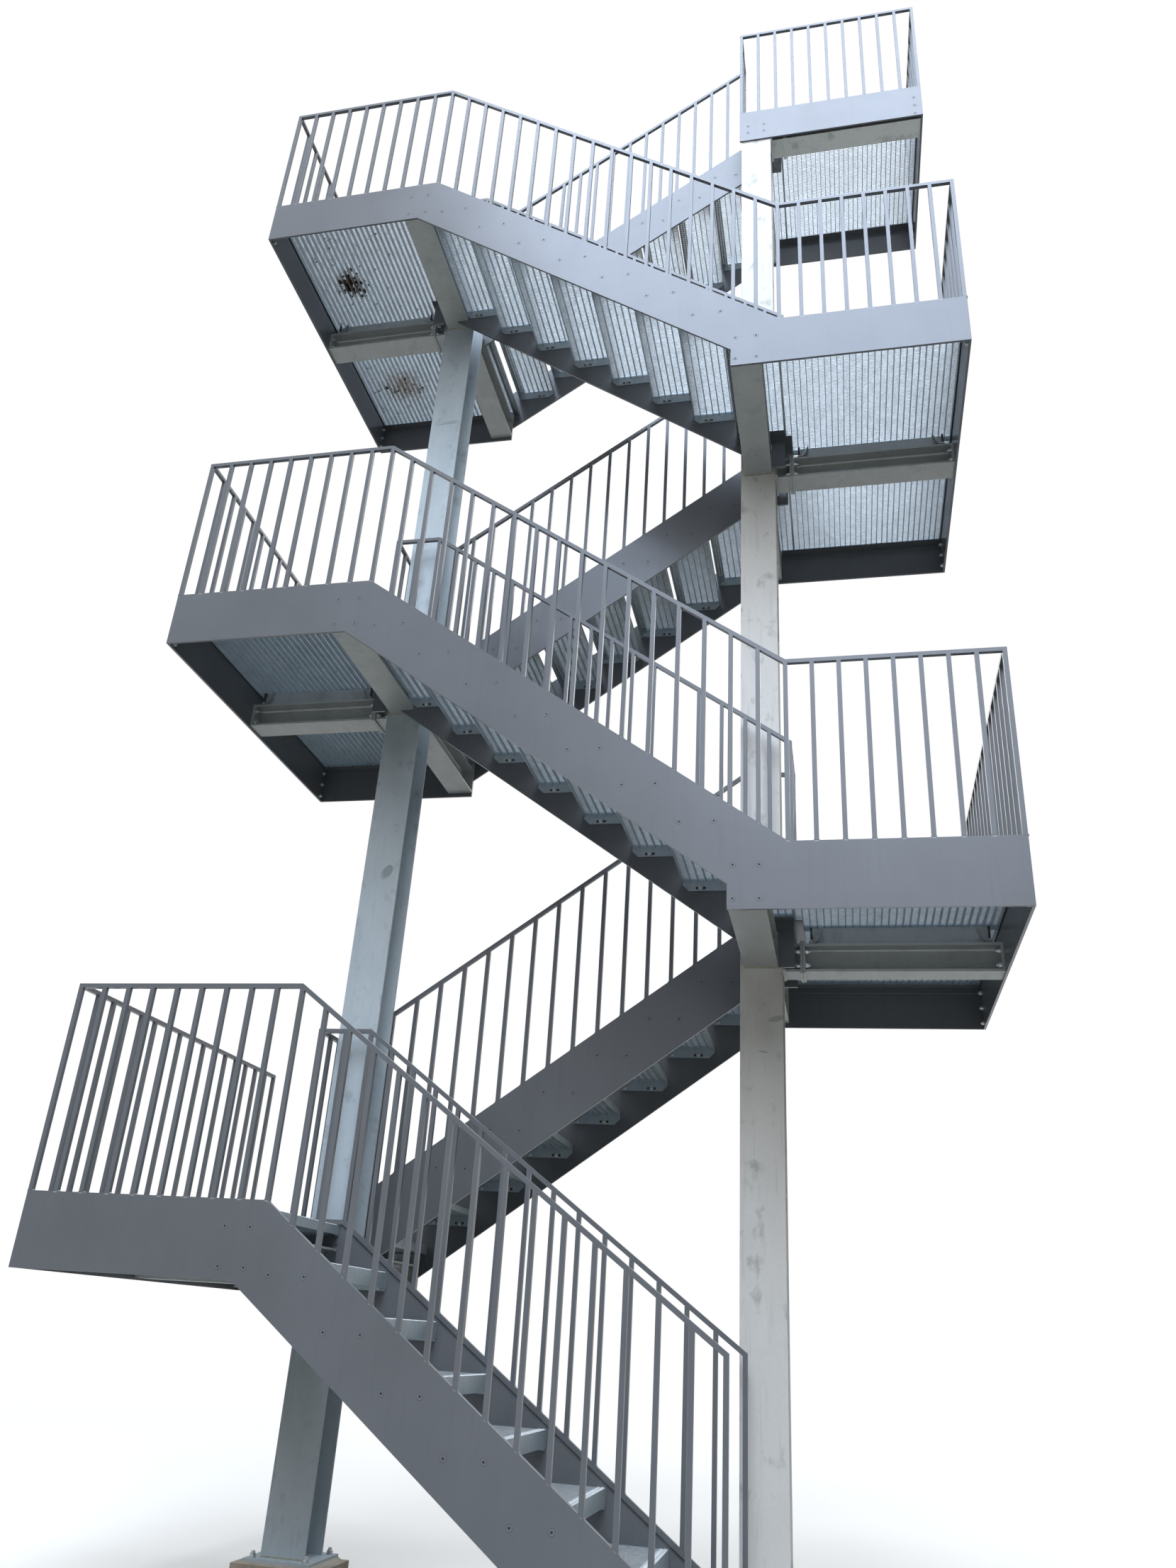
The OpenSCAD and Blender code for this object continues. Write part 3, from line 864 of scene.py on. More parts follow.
@dataclass
class GratingPart(FlightPart):
    """Layout of the grating panels, for their mesh and their nosings, in millimetres."""

    gap: float = 5.0
    bearing_pitch: float = 33.3
    bearing_t: float = 3.0
    side_t: float = 4.0

    def bay(self, length: float, open_bars: int) -> float:
        """Returns the distance between the bearing bars, which close a panel at both ends."""
        clear = length - open_bars * self.bearing_t
        return clear / math.floor(clear / self.bearing_pitch)

    def panels(self) -> Iterator[tuple[float, float, float, float, float, int]]:
        """Yields X, Y and top of each panel, and how many bars close it behind its nosing.

        The panels of the landing come first, which have one such bar or no nosing at all. Those
        of the treads have two.
        """
        edge, gap, start, top = PLAN.stringer_t + self.gap, self.gap, PLAN.well_a, -PLAN.upstand
        x_in, far = self.end_x + edge, PLAN.total_y - edge
        yield x_in, start - gap, edge, (PLAN.col_rear if self.last else PLAN.mid_y) - gap, top, 0
        yield start, PLAN.land_nose, edge, PLAN.flight_w - (0 if self.last else edge), top, 1
        if self.last:
            yield start, PLAN.head_x - gap, PLAN.flight_w + gap, PLAN.col_rear - gap, top, 0
        else:
            yield x_in, start - gap, PLAN.mid_y, far, top, 0
            yield start, PLAN.dep_nose, PLAN.total_y - PLAN.flight_w + edge, far, top, 1
        side = PLAN.stringer_t + self.side_t - self.bearing_t
        for front, top in PLAN.treads():
            yield front - PLAN.tread_depth, front, side, PLAN.flight_w - side, top, 2


@dataclass
class GratingMesh(GratingPart):
    """Cross bars pressed into the bearing bars of treads and landings, in millimetres."""

    pitch: float = 11.1
    bar_t: float = 2.0
    bar_h: float = 10.0
    sunk: float = 0.2
    bind_t: float = 2.1
    finish: ClassVar[Finish] = MESH_ZINC

    def field(self, draft: MeshDraft, low: Point, high: Point) -> None:
        """Adds the cross bars of one panel.

        Args:
            draft: where they go.
            low: least X and Y inside the panel's frame, and its top.
            high: greatest X and Y.
        """
        count = round((high[1] - low[1]) / self.pitch)
        top = low[2] - self.sunk
        for i in range(1, count):
            y = low[1] + i * (high[1] - low[1]) / count
            draft.box((low[0], y - self.bar_t / 2, top - self.bar_h), (high[0], y + self.bar_t / 2, top))

    def binding(self, draft: MeshDraft) -> None:
        """Adds the flat bars that bind the panels' edges and nearly close the joint between them.

        Args:
            draft: where they go.
        """
        low, high = -PLAN.upstand - PLAN.deck_h + 1.0, -PLAN.upstand - 1.0
        for x0, x1, y0, y1, *_ in self.panels():
            if x1 == PLAN.well_a - self.gap:
                draft.box((x1, y0, low), (x1 + self.bind_t, y1, high))
            if x0 == PLAN.well_a:
                draft.box((x0 - self.bind_t, y0, low), (x0, y1, high))

    def build(self) -> None:
        """Builds the mesh of the landing and of the flight's treads."""
        t, stained = self.bearing_t, self.k == STAINED_LANDING
        landing = MeshDraft(PLAN.flight(self.k), STAINED_MESH if stained else MESH_ZINC)
        self.binding(landing)
        for x0, x1, y0, y1, top, bars in self.panels():
            end = self.bay(x1 - x0, bars) if bars else t
            draft = self.draft if bars == 2 else landing
            self.field(draft, (x0 + t, y0 + t, top), (x1 - end, y1 - t))
        landing.piece(f"landing_mesh_{self.k}", "galvanised_grating")
        self.draft.piece(f"tread_mesh_{self.k}", "galvanised_grating")


@dataclass
class NosingStrips(GratingPart):
    """Perforated strips behind the front edges, with punched collars, in millimetres."""

    pitch: float = 17.5
    sheet_t: float = 2.0
    hole_r: float = 3.4
    lip_r: float = 4.4
    foot_r: float = 6.6
    front_rise: float = 3.0
    rear_rise: float = 2.2
    finish: ClassVar[Finish] = NOSING_ZINC

    def cell(self, at: Point, half: Point, rise: float) -> None:
        """Adds one hole with its collar and the sheet around it.

        Args:
            at: middle of the hole on the sheet's top.
            half: half the cell's depth and length.
            rise: height of the collar.
        """
        spots = [(x, y) for x, y, _ in circle(1.0, 0.0, 8)]
        edge = [((x > 0.1) - (x < -0.1), (y > 0.1) - (y < -0.1)) for x, y in spots]
        forms = [(edge, half, 0.0)]
        forms += [(spots, (r, r), z) for r, z in ((self.foot_r, 0.0), (self.lip_r, rise),
                                                  (self.hole_r, rise), (self.hole_r, -self.sheet_t))]
        forms.append((edge, half, -self.sheet_t))
        rings = [[(at[0] + reach[0] * u, at[1] + reach[1] * v, at[2] + z) for u, v in form]
                 for form, reach, z in forms]
        self.draft.loft(rings, closed=(False, False))

    def build(self) -> None:
        """Builds the strips of every landing edge and tread, each with two rows of holes."""
        t = self.bearing_t
        for x0, x1, y0, y1, top, bars in self.panels():
            if not bars:
                continue
            half_x, long = (self.bay(x1 - x0, bars) - t) / 4, y1 - y0 - 2 * t
            count = round(long / self.pitch)
            half_y = long / count / 2
            for x, rise in ((x1 - t - half_x, self.front_rise), (x1 - t - 3 * half_x, self.rear_rise)):
                for i in range(count):
                    at = (x, y0 + t + (2 * i + 1) * half_y, top + 0.1)
                    self.cell(at, (half_x, half_y), rise)
        self.draft.piece(f"nosing_strips_{self.k}", "galvanised_grating")


@dataclass
class LandingSteel(FlightPart):
    """Screws, bolts, clips and weld beads of the arms and the middle beam, in millimetres."""

    arm_half: float = 55.0
    arm_drops: tuple[float, float] = (104.0, 253.0)
    head_drops: tuple[float, float] = (152.0, 220.0)
    bolt_y: float = 46.0
    bolt_z: float = 34.0
    joint_half: float = 0.8
    joint_over: float = 0.3
    clip_set: float = 14.0
    clip_in: float = 12.0
    clip_w: float = 30.0
    clip_t: float = 4.0
    clip_bolt: float = 8.0
    stud_half: float = 5.0
    weld_r: float = 6.5
    weld_half: float = 60.0
    weld_in: float = 12.0
    corner_y: float = 38.0
    corner_zs: tuple[float, float, float] = (-113.0, -195.0, -277.0)

    def __post_init__(self) -> None:
        """Works out the faces that the fixings sit on."""
        super().__post_init__()
        self.plate_x = self.end_x + PLAN.stringer_t
        self.inner_y = PLAN.stringer_t + PLAN.cap_t

    def arm_screws(self) -> None:
        """Adds the four screws and nuts of each arm, and the top fascia's into the head."""
        far = PLAN.total_y
        sides = [(0.0, Facing.FRONT, self.inner_y, Facing.REAR)]
        if not self.last:
            sides.append((far, Facing.REAR, far - self.inner_y, Facing.FRONT))
        for x in (PLAN.arm_x - self.arm_half, PLAN.arm_x + self.arm_half):
            for (out_y, outward, in_y, inward), drop in product(sides, self.arm_drops):
                SCREW.add(self.draft, (x, out_y, -drop), outward)
                M12.add(self.draft, (x, in_y, -drop), inward)
            for drop in self.head_drops if self.last else ():
                SCREW.add(self.draft, (x, PLAN.col_rear + PLAN.stringer_t, -drop), Facing.REAR)

    def beam_bolts(self) -> None:
        """Adds the bolts of the middle beam's joint and of its far end plate."""
        ends = ((self.plate_x + PLAN.cap_t, Facing.RIGHT), (PLAN.splice_x, Facing.RIGHT),
                (PLAN.splice_x - PLAN.splice_t, Facing.LEFT))
        heights = (PLAN.beam_low + self.bolt_z, PLAN.beam_top - self.bolt_z)
        for (x, face), dy, z in product(ends, (-self.bolt_y, self.bolt_y), heights):
            M16.add(self.draft, (x, PLAN.mid_y + dy, z), face)

    def joint_line(self) -> None:
        """Adds the dark line between the two plates of the beam's joint."""
        middle, over = PLAN.splice_x - PLAN.splice_t / 2, PLAN.splice_over + self.joint_over
        half = PLAN.beam_w / 2 + over
        self.draft.box((middle - self.joint_half, PLAN.mid_y - half, PLAN.beam_low - over),
                       (middle + self.joint_half, PLAN.mid_y + half, PLAN.beam_top + over), GAP)

    def hook(self, way: int, rise: float) -> list[Point]:
        """Draws the bent bar of a clip from its bolt up to the grating.

        Args:
            way: 1 where the clip points along X and -1 where it points back.
            rise: height from the beam to the grating.

        Returns:
            X and Z of its outline.
        """
        path = ((0, 3), (18, 4), (34, 12), (46, 30), (55, rise - 24), (61, rise - 12), (62, rise - 2))
        spots = [Vector((way * x, z)) for x, z in path]
        under, over = [], []
        for i, spot in enumerate(spots):
            ahead = (spots[min(i + 1, len(spots) - 1)] - spots[max(i - 1, 0)]).normalized()
            side = Vector((-ahead.y, ahead.x)) * self.clip_t / 2
            under.append(spot - side)
            over.append(spot + side)
        return [*under, *reversed(over)]

    def clips(self) -> None:
        """Adds the hooked clips that hold the gratings down on the beam at both ends of the seat."""
        draft, seat_z, grate_z = self.draft, PLAN.beam_top, -PLAN.upstand - PLAN.deck_h
        start = self.plate_x + PLAN.seat_end - self.clip_set
        end = PLAN.arm_x - PLAN.col_w / 2 - PLAN.seat_col + self.clip_set
        half_y, stud = PLAN.beam_w / 2 - self.clip_in, self.stud_half
        for (x, way), side in product(((start, 1), (end, -1)), (-1, 1)):
            y, bolt_x = PLAN.mid_y + side * half_y, x + way * self.clip_bolt
            draft.prism(self.hook(way, grate_z - seat_z), -self.clip_w / 2, self.clip_w / 2,
                        local=upright((x, y, seat_z)))
            M12.add(draft, (bolt_x, y, seat_z + stud), Facing.UP)
            # a near-black box round the stud, painted shade under the grating
            draft.box((bolt_x - stud, y - stud, seat_z), (bolt_x + stud, y + stud, grate_z - 4), GAP)

    def corner_bolts(self) -> None:
        """Adds the nuts inside the end plate's corners, and the top landing's three screws."""
        x, t, inset = self.plate_x, PLAN.stringer_t, self.corner_y
        far = PLAN.col_rear if self.last else PLAN.total_y - t
        for z in self.corner_zs:
            for y in (t + inset, far - inset):
                M12.add(self.draft, (x, y, z), Facing.RIGHT)
            if self.last:
                SCREW.add(self.draft, (x + inset, far + t, z), Facing.REAR)

    def welds(self) -> None:
        """Adds the beads between the arms and the column, and round the arms' end plates."""
        low = -PLAN.upstand - PLAN.arm_drop
        high, half, x = low + PLAN.arm_h, PLAN.arm_w / 2, self.plate_x + PLAN.cap_t
        rows = [(PLAN.col_front, self.inner_y), (PLAN.col_rear, PLAN.total_y - self.inner_y)]
        for column_y, plate_y in rows[:1] if self.last else rows:
            for y, z, size in ((column_y, low, 1.0), (column_y, high, 1.0), (plate_y, high, 0.7)):
                start, end = (PLAN.arm_x - half, y, z), (PLAN.arm_x + half, y, z)
                self.draft.bead(start, end, size * self.weld_r)
        for z in (PLAN.beam_low + self.weld_in, PLAN.beam_top - self.weld_in):
            start, end = (x, PLAN.mid_y - self.weld_half, z), (x, PLAN.mid_y + self.weld_half, z)
            self.draft.bead(start, end, 0.6 * self.weld_r)

    def build(self) -> None:
        """Builds the fixings of the landing."""
        self.arm_screws()
        self.beam_bolts()
        if not self.last:
            self.joint_line()
        self.clips()
        self.corner_bolts()
        self.welds()
        self.draft.piece(f"landing_fixings_{self.k}", "galvanised_section")


def spread(start: float, end: float) -> list[float]:
    """Returns places from start to end, as near to the railing's pitch as they come out even."""
    count = max(1, round((end - start) / PLAN.rail_pitch))
    return [start + i * (end - start) / count for i in range(count + 1)]


@dataclass
class PostWelds(FlightPart):
    """Beads at the foot of the balusters and painted highlights of ground welds on the plates, in
    millimetres.
    """

    leg: float = 4.5
    highlight_half: tuple[float, float] = (13.0, 3.0)
    slope_share: float = 0.5
    end_clear: float = 60.0
    proud: float = 0.15
    finish: ClassVar[Finish] = COAT

    def rows(self) -> Iterator[tuple[float, float, float]]:
        """Yields the ends and the outer face Y of the railings along the flight."""
        half, first = PLAN.rail_bar - PLAN.stringer_t, self.k == 1
        if self.k % 2:
            yield self.end_x, PLAN.first_end if first else PLAN.total_x, 0.0
        start = (PLAN.head_x if self.last else PLAN.well_a) - half
        yield start, PLAN.first_end if first else PLAN.well_l + half, PLAN.flight_w - PLAN.rail_bar

    def posts(self, x0: float, x1: float) -> Iterator[float]:
        """Yields the middle of each baluster of a railing.

        Args:
            x0: where the railing starts.
            x1: where it ends.
        """
        first, last, bay = x0 + PLAN.rail_bar / 2, x1 - PLAN.rail_bar / 2, PLAN.bay
        low = min(PLAN.slope_bays, math.floor((last - PLAN.kink_a) / bay))
        yield from spread(first, PLAN.kink_a) if PLAN.kink_a - x0 > PLAN.rail_pitch else [first]
        yield from (PLAN.kink_a + i * bay for i in range(1, low + 1))
        if x1 > PLAN.kink_l + PLAN.rail_pitch:
            yield from spread(PLAN.kink_l, last)[1:]
        elif last > PLAN.kink_a + low * bay + PLAN.rail_bar:
            yield last

    def foot(self, x: float, y: float) -> None:
        """Adds the two beads at the foot of one baluster.

        Args:
            x: the baluster's middle.
            y: its front face.
        """
        for way in (-1, 1):
            at = x + way * PLAN.rail_bar / 2
            out, edge = at + way * self.leg, PLAN.edge_z(at)
            outline = [(at, edge - 0.5), (out, PLAN.edge_z(out) - 0.2),
                       (at + way * self.leg * 0.35, edge + self.leg * 0.5), (at, edge + self.leg)]
            self.draft.prism(outline[::way], 0.0, PLAN.rail_bar - 1.2,
                             local=upright((0, y + PLAN.rail_bar - 0.6, 0)))

    def spot(self, x: float, chance: random.Random) -> None:
        """Adds one pale spot on the outer face under a baluster, a painted highlight of its ground weld.

        Args:
            x: the baluster's middle.
            chance: source of the raggedness.
        """
        size = self.slope_share if PLAN.kink_a < x < PLAN.kink_l else 1.0
        oval = ragged(chance, [size * half for half in self.highlight_half], (0.72, 1.0), 14)
        face = [(x + u, -self.proud, PLAN.edge_z(x + u) - self.highlight_half[1] + v) for u, v in oval]
        self.draft.loft([face], WELD_HIGHLIGHT_COAT, closed=(False, True))

    def build(self) -> None:
        """Builds the feet of the balusters along the flight."""
        chance = random.Random(40 + self.k)
        for x0, x1, y in self.rows():
            for x in self.posts(x0, x1):
                self.foot(x, y)
                if y == 0 and x0 + self.end_clear < x < x1 - self.end_clear:
                    self.spot(x, chance)
        self.draft.piece(f"post_welds_{self.k}", "painted_plate")


@dataclass
class Feet:
    """Mortar beds, anchors and welds of the column bases, and anchors of the lowest flight."""

    plinth_h: float = 170.0
    base_t: float = 20.0
    base: tuple[float, float] = (300.0, 310.0)
    anchor: tuple[float, float] = (240.0, 250.0)
    bed_over: float = 14.0
    bed_deep: float = 160.0
    bed_h: float = 9.0
    weld_r: float = 5.5
    foot_w: float = 80.0
    foot_t: float = 12.0

    def bed(self, draft: MeshDraft, x: float) -> None:
        """Adds the sloped mortar bed round one base plate.

        Args:
            draft: where it goes.
            x: the column's middle.
        """
        wide, deep = self.base[0] / 2, self.base[1] / 2
        levels = ((wide + self.bed_over, min(deep + self.bed_over, self.bed_deep), self.plinth_h),
                  (wide + 0.5, deep + 0.5, self.plinth_h + self.bed_h))
        rings = [[(x + sx * dx, PLAN.mid_y + sy * dy, z) for sx, sy in ((-1, -1), (1, -1), (1, 1), (-1, 1))]
                 for dx, dy, z in levels]
        draft.loft(rings, MORTAR, closed=(False, True))

    def build(self) -> None:
        """Builds the feet of both columns and of the lowest flight."""
        draft, top, half = MeshDraft(PLAN.ground(), BOLT_ZINC), self.plinth_h + self.base_t, PLAN.col_w / 2
        for x in (PLAN.arm_x, PLAN.arm_low_x):
            self.bed(draft, x)
            for y in (PLAN.col_front, PLAN.col_rear):
                draft.bead((x - half, y, top), (x + half, y, top), self.weld_r)
            for sx, sy in product((-0.5, 0.5), repeat=2):
                at = (x + sx * self.anchor[0], PLAN.mid_y + sy * self.anchor[1], top)
                M16.add(draft, at, Facing.UP)
        # the foot plates reach from the stringers' level cut back to their lower edge
        drop = PLAN.rise + PLAN.upstand - self.foot_t - PLAN.stringer_h * math.hypot(1, PLAN.slope)
        back, half, inset = PLAN.kink_a + drop / PLAN.slope, self.foot_w / 2, self.foot_w * 5 / 8
        for x, y in product((back + half, PLAN.first_end - half), (inset, PLAN.flight_w - inset)):
            M16.add(draft, (x, y, self.foot_t), Facing.UP)
        draft.piece("foot_fixings", "galvanised_section")


@dataclass
class ColumnScuffs:
    """Marks rubbed into the zinc of the columns' front flanges.

    Each has X, Z, half width and half height in millimetres, and its tilt in degrees.
    """

    dull: tuple[tuple[float, ...], ...] = ((1019, 3286, 36, 25, 62), (1004, 6404, 80, 4, 3),
                                           (1010, 6418, 72, 2.5, 3))
    bright: tuple[tuple[float, ...], ...] = ((3061, 2500, 37, 14, 14), (3000, 2345, 22, 5, -8))

    def mark(self, draft: MeshDraft, spot: Sequence[float], size: float, proud: float,
             finish: Finish) -> None:
        """Adds one ragged oval, thin as paint.

        Args:
            draft: where it goes.
            spot: X, Z, half width, half height and tilt.
            size: factor on the half width and height.
            proud: how far it stands in front of the flange.
            finish: its finish.
        """
        x, z, half_w, half_h, tilt = spot
        oval = ragged(random.Random(int(x + z)), (size * half_w, size * half_h), (0.93, 1.06), 24)
        lean = Matrix.Rotation(math.radians(tilt), 2)
        face = [(x + p.x, PLAN.col_front - proud, z + p.y) for p in (lean @ Vector(at) for at in oval)]
        draft.loft([face], finish, closed=(False, True))

    def build(self) -> None:
        """Builds the marks of both columns."""
        draft = MeshDraft(PLAN.ground(), SCUFF)
        for x, z, *shape in self.dull:
            faint = (x - 0.3 * shape[1], z - 0.4 * shape[1], *shape)
            self.mark(draft, faint, 1.1, 0.1, FAINT_SCUFF)
            self.mark(draft, (x, z, *shape), 1.0, 0.2, SCUFF)
        for spot in self.bright:
            self.mark(draft, spot, 1.0, 0.15, PALE_SCUFF)
        draft.piece("column_scuffs", "galvanised_column")


@dataclass
class GratingDirt:
    """Patches and flecks of dried dirt on the gratings of one landing.

    Each patch has X, Y and radius in millimetres, and its number of clods.
    """

    landing: int = STAINED_LANDING
    patches: tuple[tuple[float, float, float, int], ...] = ((262, 622, 84, 120), (300, 1575, 120, 16))
    flecks: int = 130
    clod_r: tuple[float, float] = (3.0, 18.0)
    fleck_r: tuple[float, float] = (2.0, 6.0)
    edge: float = 60.0
    reach: float = 720.0
    depth: float = 11.5
    proud: float = 0.8

    def blot(self, draft: MeshDraft, at: Point, radius: float, chance: random.Random) -> None:
        """Adds one ragged flat clod, drawn out along the bearing bars.

        Args:
            draft: where it goes.
            at: its middle on the grating.
            radius: its mean radius.
            chance: source of the raggedness.
        """
        oval = ragged(chance, (0.7 * radius, radius), (0.55, 1.2), 14)
        outline = [(at[0] + u, at[1] + v) for u, v in oval]
        draft.prism(outline, -PLAN.upstand - self.depth, -PLAN.upstand + self.proud)

    def build(self) -> None:
        """Builds the dirt of the landing."""
        draft, chance = MeshDraft(PLAN.flight(self.landing), DIRT), random.Random(7)
        least, most = self.clod_r
        for x, y, radius, clods in self.patches:
            for _ in range(clods):
                at = (x + chance.gauss(0, 0.5 * radius), y + chance.gauss(0, 0.5 * radius))
                self.blot(draft, at, least + (most - least) * chance.random() ** 1.8, chance)
        for _ in range(self.flecks):
            at = (self.edge + self.reach * chance.random() ** 1.5,
                  chance.uniform(self.edge, PLAN.total_y - self.edge))
            self.blot(draft, at, chance.uniform(*self.fleck_r), chance)
        draft.piece(f"grating_dirt_{self.landing}", "galvanised_grating")


# Dressing of the solids

NODE_FINISHES = (("plinths", CONCRETE), ("column_left", SHADED_COLUMN_ZINC), ("column_right", LIT_COLUMN_ZINC),
                 ("landing_beams_6", LIT_TOP_BEAM_ZINC), ("landing_beams", BEAM_ZINC),
                 (f"landing_grating_{STAINED_LANDING}", STAINED_GRATE), ("landing_grating", GRATE_ZINC),
                 ("treads", GRATE_ZINC), ("", COAT))


@dataclass
class Solids:
    """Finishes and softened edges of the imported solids."""

    plate_edge_mm: float = 0.8
    bar_edge_mm: float = 2.0
    weld_mm: float = 0.02
    sharp_angle: float = 35.0

    def soften(self, node: bpy.types.Object, width_mm: float) -> None:
        """Rounds the sharp edges of a node by modifiers, which leave its mesh as it is.

        Args:
            node: the node's object.
            width_mm: width of the rounding.
        """
        weld = node.modifiers.new("joined_corners", "WELD")
        weld.merge_threshold = self.weld_mm * MM
        bevel = node.modifiers.new("soft_edges", "BEVEL")
        bevel.width = width_mm * MM
        bevel.segments = 2
        bevel.limit_method = "ANGLE"
        bevel.angle_limit = math.radians(self.sharp_angle)
        bevel.use_clamp_overlap = True

    def line_seat(self, node: bpy.types.Object, k: int) -> None:
        """Gives the grating seat of a landing the paler zinc of its tube.

        Args:
            node: the beams of the landing.
            k: number of the landing.
        """
        node.data.materials.append(SEAT_ZINC.material())
        back = PLAN.flight(k).inverted() @ node.matrix_world
        for face in node.data.polygons:
            at = back @ face.center
            if at.z > PLAN.beam_top + 1.0 and abs(at.y - PLAN.mid_y) < PLAN.seat_w / 2 + 1.0:
                face.material_index = 1

    def dress(self, nodes: dict[str, bpy.types.Object]) -> None:
        """Gives every node its finish and soft edges.

        Args:
            nodes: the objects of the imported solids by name.
        """
        for name, node in sorted(nodes.items()):
            finish = next(finish for start, finish in NODE_FINISHES if name.startswith(start))
            node.data.materials.clear()
            node.data.materials.append(finish.material())
            if name.startswith("landing_beams"):
                self.line_seat(node, int(name[-1]))
            if "railing" in name:
                self.soften(node, self.bar_edge_mm)
            elif not name.startswith(("treads", "landing_grating")):
                self.soften(node, self.plate_edge_mm)
            LOG.info("%s: %s", name, finish.name)


# Studio


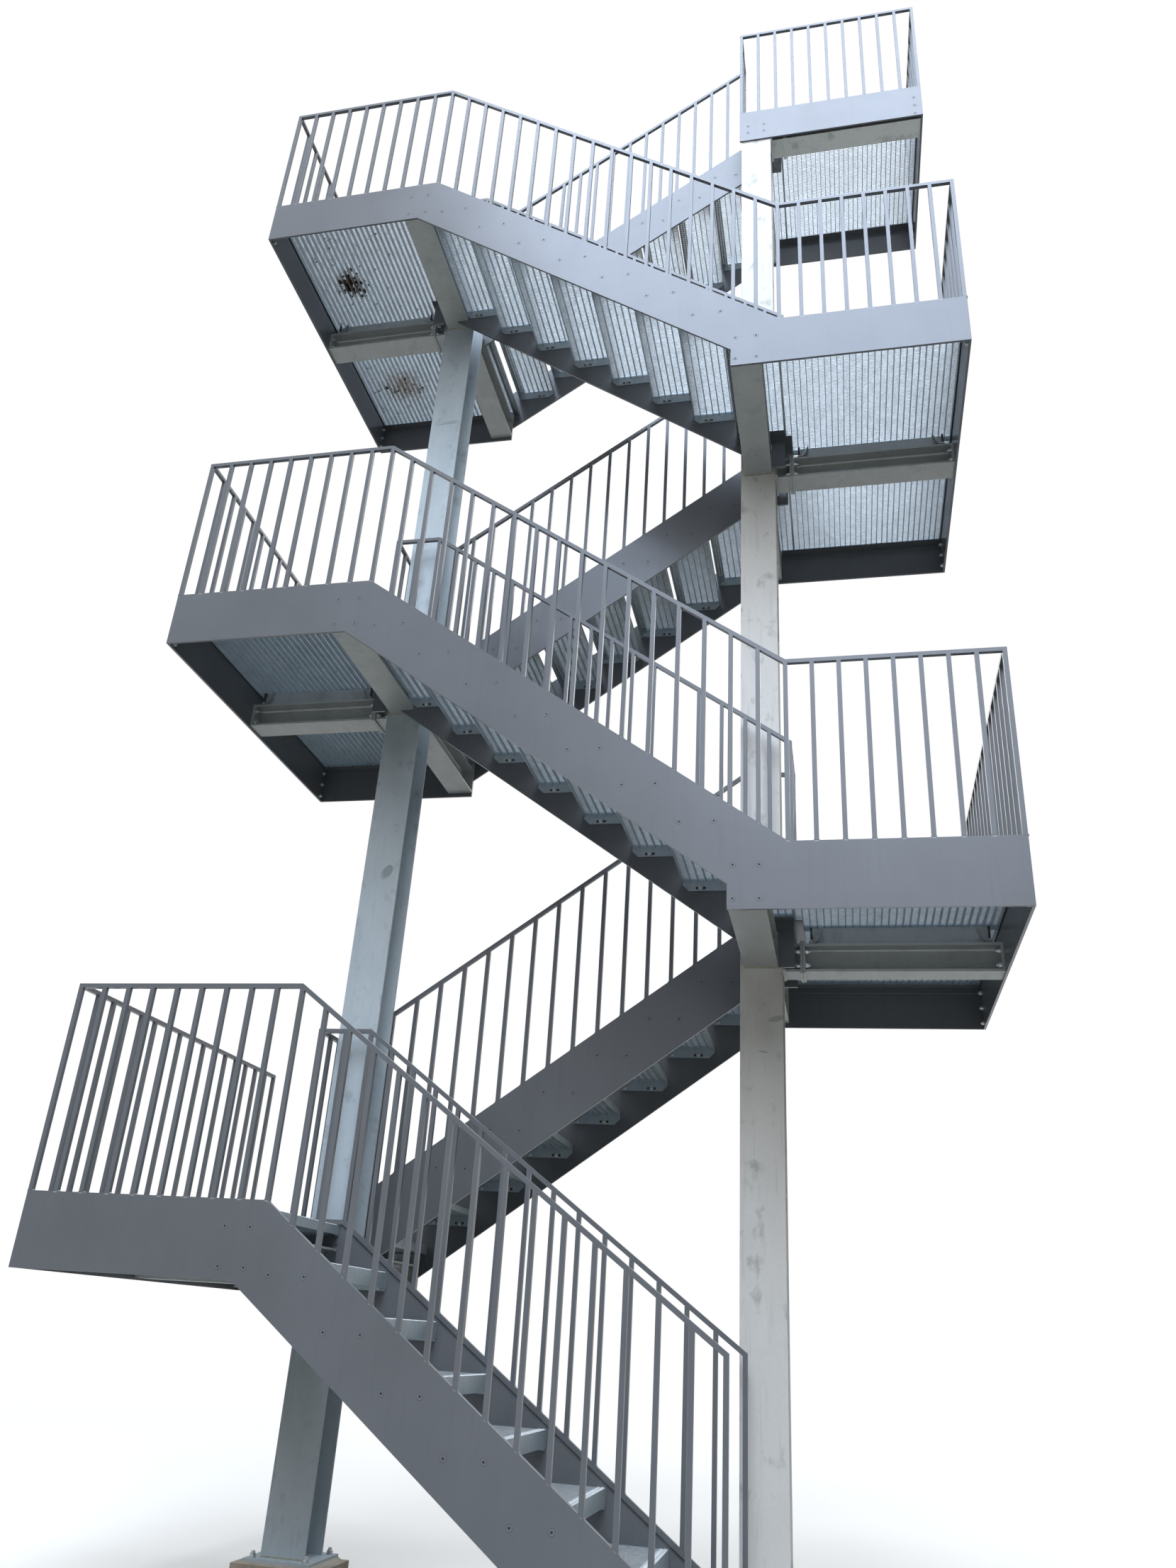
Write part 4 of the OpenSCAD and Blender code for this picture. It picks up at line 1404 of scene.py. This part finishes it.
@dataclass
class Studio:
    """Camera at the photograph's angle, soft lamps and a pale floor, in metres."""

    eye: tuple[float, float, float] = (1.3042, -5.5149, 1.111)
    turn: tuple[float, float, float] = (-0.44893, 0.21363, 0.01179)
    sensor_mm: float = 36.0
    focal_share: float = 1633.1 / 1659.0
    sight: float = 200.0
    floor_r: float = 60.0
    fade_from: float = 5.0
    fade_to: float = 13.0
    sky_low: float = 0.07
    sky_high: float = 1.7

    def camera(self) -> None:
        """Creates the camera, whose turn is an axis times an angle."""
        data = bpy.data.cameras.new("view")
        data.sensor_fit = "HORIZONTAL"
        data.sensor_width = self.sensor_mm
        data.lens = self.sensor_mm * self.focal_share
        data.clip_end = self.sight
        spin = Vector(self.turn)
        level = Matrix(((1, 0, 0), (0, 0, -1), (0, 1, 0)))
        right, down, ahead = Matrix.Rotation(spin.length, 3, spin.normalized()) @ level
        place = Matrix((right, -down, -ahead)).transposed().to_4x4()
        place.translation = self.eye
        made = placed("view", data)
        made.matrix_world = place
        bpy.context.scene.camera = made

    def lamp(self, name: str, at: Point, aim: Point, size: float, power: float, tint: str) -> None:
        """Creates one soft square lamp.

        Args:
            name: its name.
            at: its place.
            aim: the point that it looks at.
            size: side of the lamp.
            power: power in watts.
            tint: its colour.
        """
        data = bpy.data.lights.new(name, "AREA")
        data.size = size
        data.energy = power
        data.color = linear(tint)[:3]
        made = placed(name, data)
        made.location = at
        made.rotation_euler = (Vector(aim) - Vector(at)).to_track_quat("-Z", "Y").to_euler()

    def background(self, tree: Tree) -> Node:
        """Tells the rays that see the background itself, straight or in a reflection.

        Args:
            tree: the node tree of the material or world.

        Returns:
            The node whose output is 1 for such rays.
        """
        rays = add_node(tree, "ShaderNodeLightPath").outputs
        seen = rays["Is Camera Ray"]
        for kind in ("Is Glossy Ray", "Is Transmission Ray"):
            seen = add_node(tree, "ShaderNodeMath", {0: seen, 1: rays[kind]}, operation="MAXIMUM")
        return seen

    def sky(self) -> None:
        """Creates the even light from all around, white where it is looked at."""
        bpy.context.scene.world = bpy.data.worlds.new("studio")
        tree = emptied(bpy.context.scene.world)
        way = add_node(tree, "ShaderNodeTexCoord").outputs["Generated"]
        height = add_node(tree, "ShaderNodeSeparateXYZ", {0: way}).outputs["Z"]
        # an overcast sky between houses: bright overhead, dim at the horizon and below it
        above = add_node(tree, "ShaderNodeMath", {0: height, 1: 0.0}, operation="MAXIMUM")
        steep = add_node(tree, "ShaderNodeMath", {0: above, 1: 2.0}, operation="POWER")
        level = add_node(tree, "ShaderNodeMapRange", {"Value": steep, "To Min": self.sky_low,
                                                      "To Max": self.sky_high}).outputs[0]
        tint = overlaid(tree, "fffaf2", ("eaf3ff", level, 1.0))
        light = add_node(tree, "ShaderNodeBackground", {"Color": tint, "Strength": level})
        white = add_node(tree, "ShaderNodeBackground", {"Color": linear("ffffff"), "Strength": 1.0})
        both = add_node(tree, "ShaderNodeMixShader", {0: self.background(tree), 1: light, 2: white})
        add_node(tree, "ShaderNodeOutputWorld", {"Surface": both})

    def floor(self) -> None:
        """Creates the floor, which keeps the shadow and pales into the background."""
        mesh = bpy.data.meshes.new("floor")
        r = self.floor_r
        mesh.from_pydata([(-r, -r, 0), (r, -r, 0), (r, r, 0), (-r, r, 0)], [], [(0, 1, 2, 3)])
        material = bpy.data.materials.new("painted_studio_floor")
        tree = emptied(material)
        place = add_node(tree, "ShaderNodeTexCoord").outputs["Object"]
        far = add_node(tree, "ShaderNodeVectorMath", {0: place}, operation="LENGTH").outputs["Value"]
        fade = add_node(tree, "ShaderNodeMapRange",
                        {"Value": far, "From Min": self.fade_from, "From Max": self.fade_to},
                        interpolation_type="SMOOTHSTEP")
        seen = self.background(tree)
        tint = overlaid(tree, "7a756b", ("f7f4ee", seen, 1.0))
        paint = add_node(tree, "ShaderNodeBsdfDiffuse", {"Color": tint})
        white = add_node(tree, "ShaderNodeEmission", {"Color": linear("ffffff"), "Strength": 1.0})
        share = add_node(tree, "ShaderNodeMath", {0: fade, 1: seen}, operation="MULTIPLY")
        both = add_node(tree, "ShaderNodeMixShader", {0: share, 1: paint, 2: white})
        add_node(tree, "ShaderNodeOutputMaterial", {"Surface": both})
        mesh.materials.append(material)
        placed("floor", mesh)

    def build(self) -> None:
        """Builds the studio."""
        self.camera()
        # the open sky above the camera, which shows in the satin coat of the upper flights
        self.lamp("key", (0.9, -8.4, 16.6), (0.5, -0.5, 5.5), 9.0, 2400.0, "e4efff")
        self.lamp("fill", (1.8, -9.0, 8.0), (0.9, 0.0, 3.5), 5.0, 340.0, "f6f9ff")
        self.lamp("back", (2.0, 12.0, 13.0), (0.0, 0.0, 5.0), 8.0, 450.0, "ffffff")
        self.sky()
        self.floor()
        bpy.context.scene.view_settings.view_transform = "Standard"


def main() -> None:
    """Dresses the solids, and builds the pieces and the studio."""
    logging.basicConfig(level=logging.INFO, format="%(message)s")
    Studio().build()
    Solids().dress(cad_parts)
    kinds = (GratingMesh, NosingStrips, TreadFixings, LandingSteel, PostWelds)
    parts = [kind(k) for kind, k in product(kinds, range(1, PLAN.flights + 1))]
    for part in (*parts, Feet(), ColumnScuffs(), GratingDirt(), GratingDirt(3, (), 70)):
        LOG.info("building %s", type(part).__name__)
        part.build()


if __name__ == "__main__":
    main()
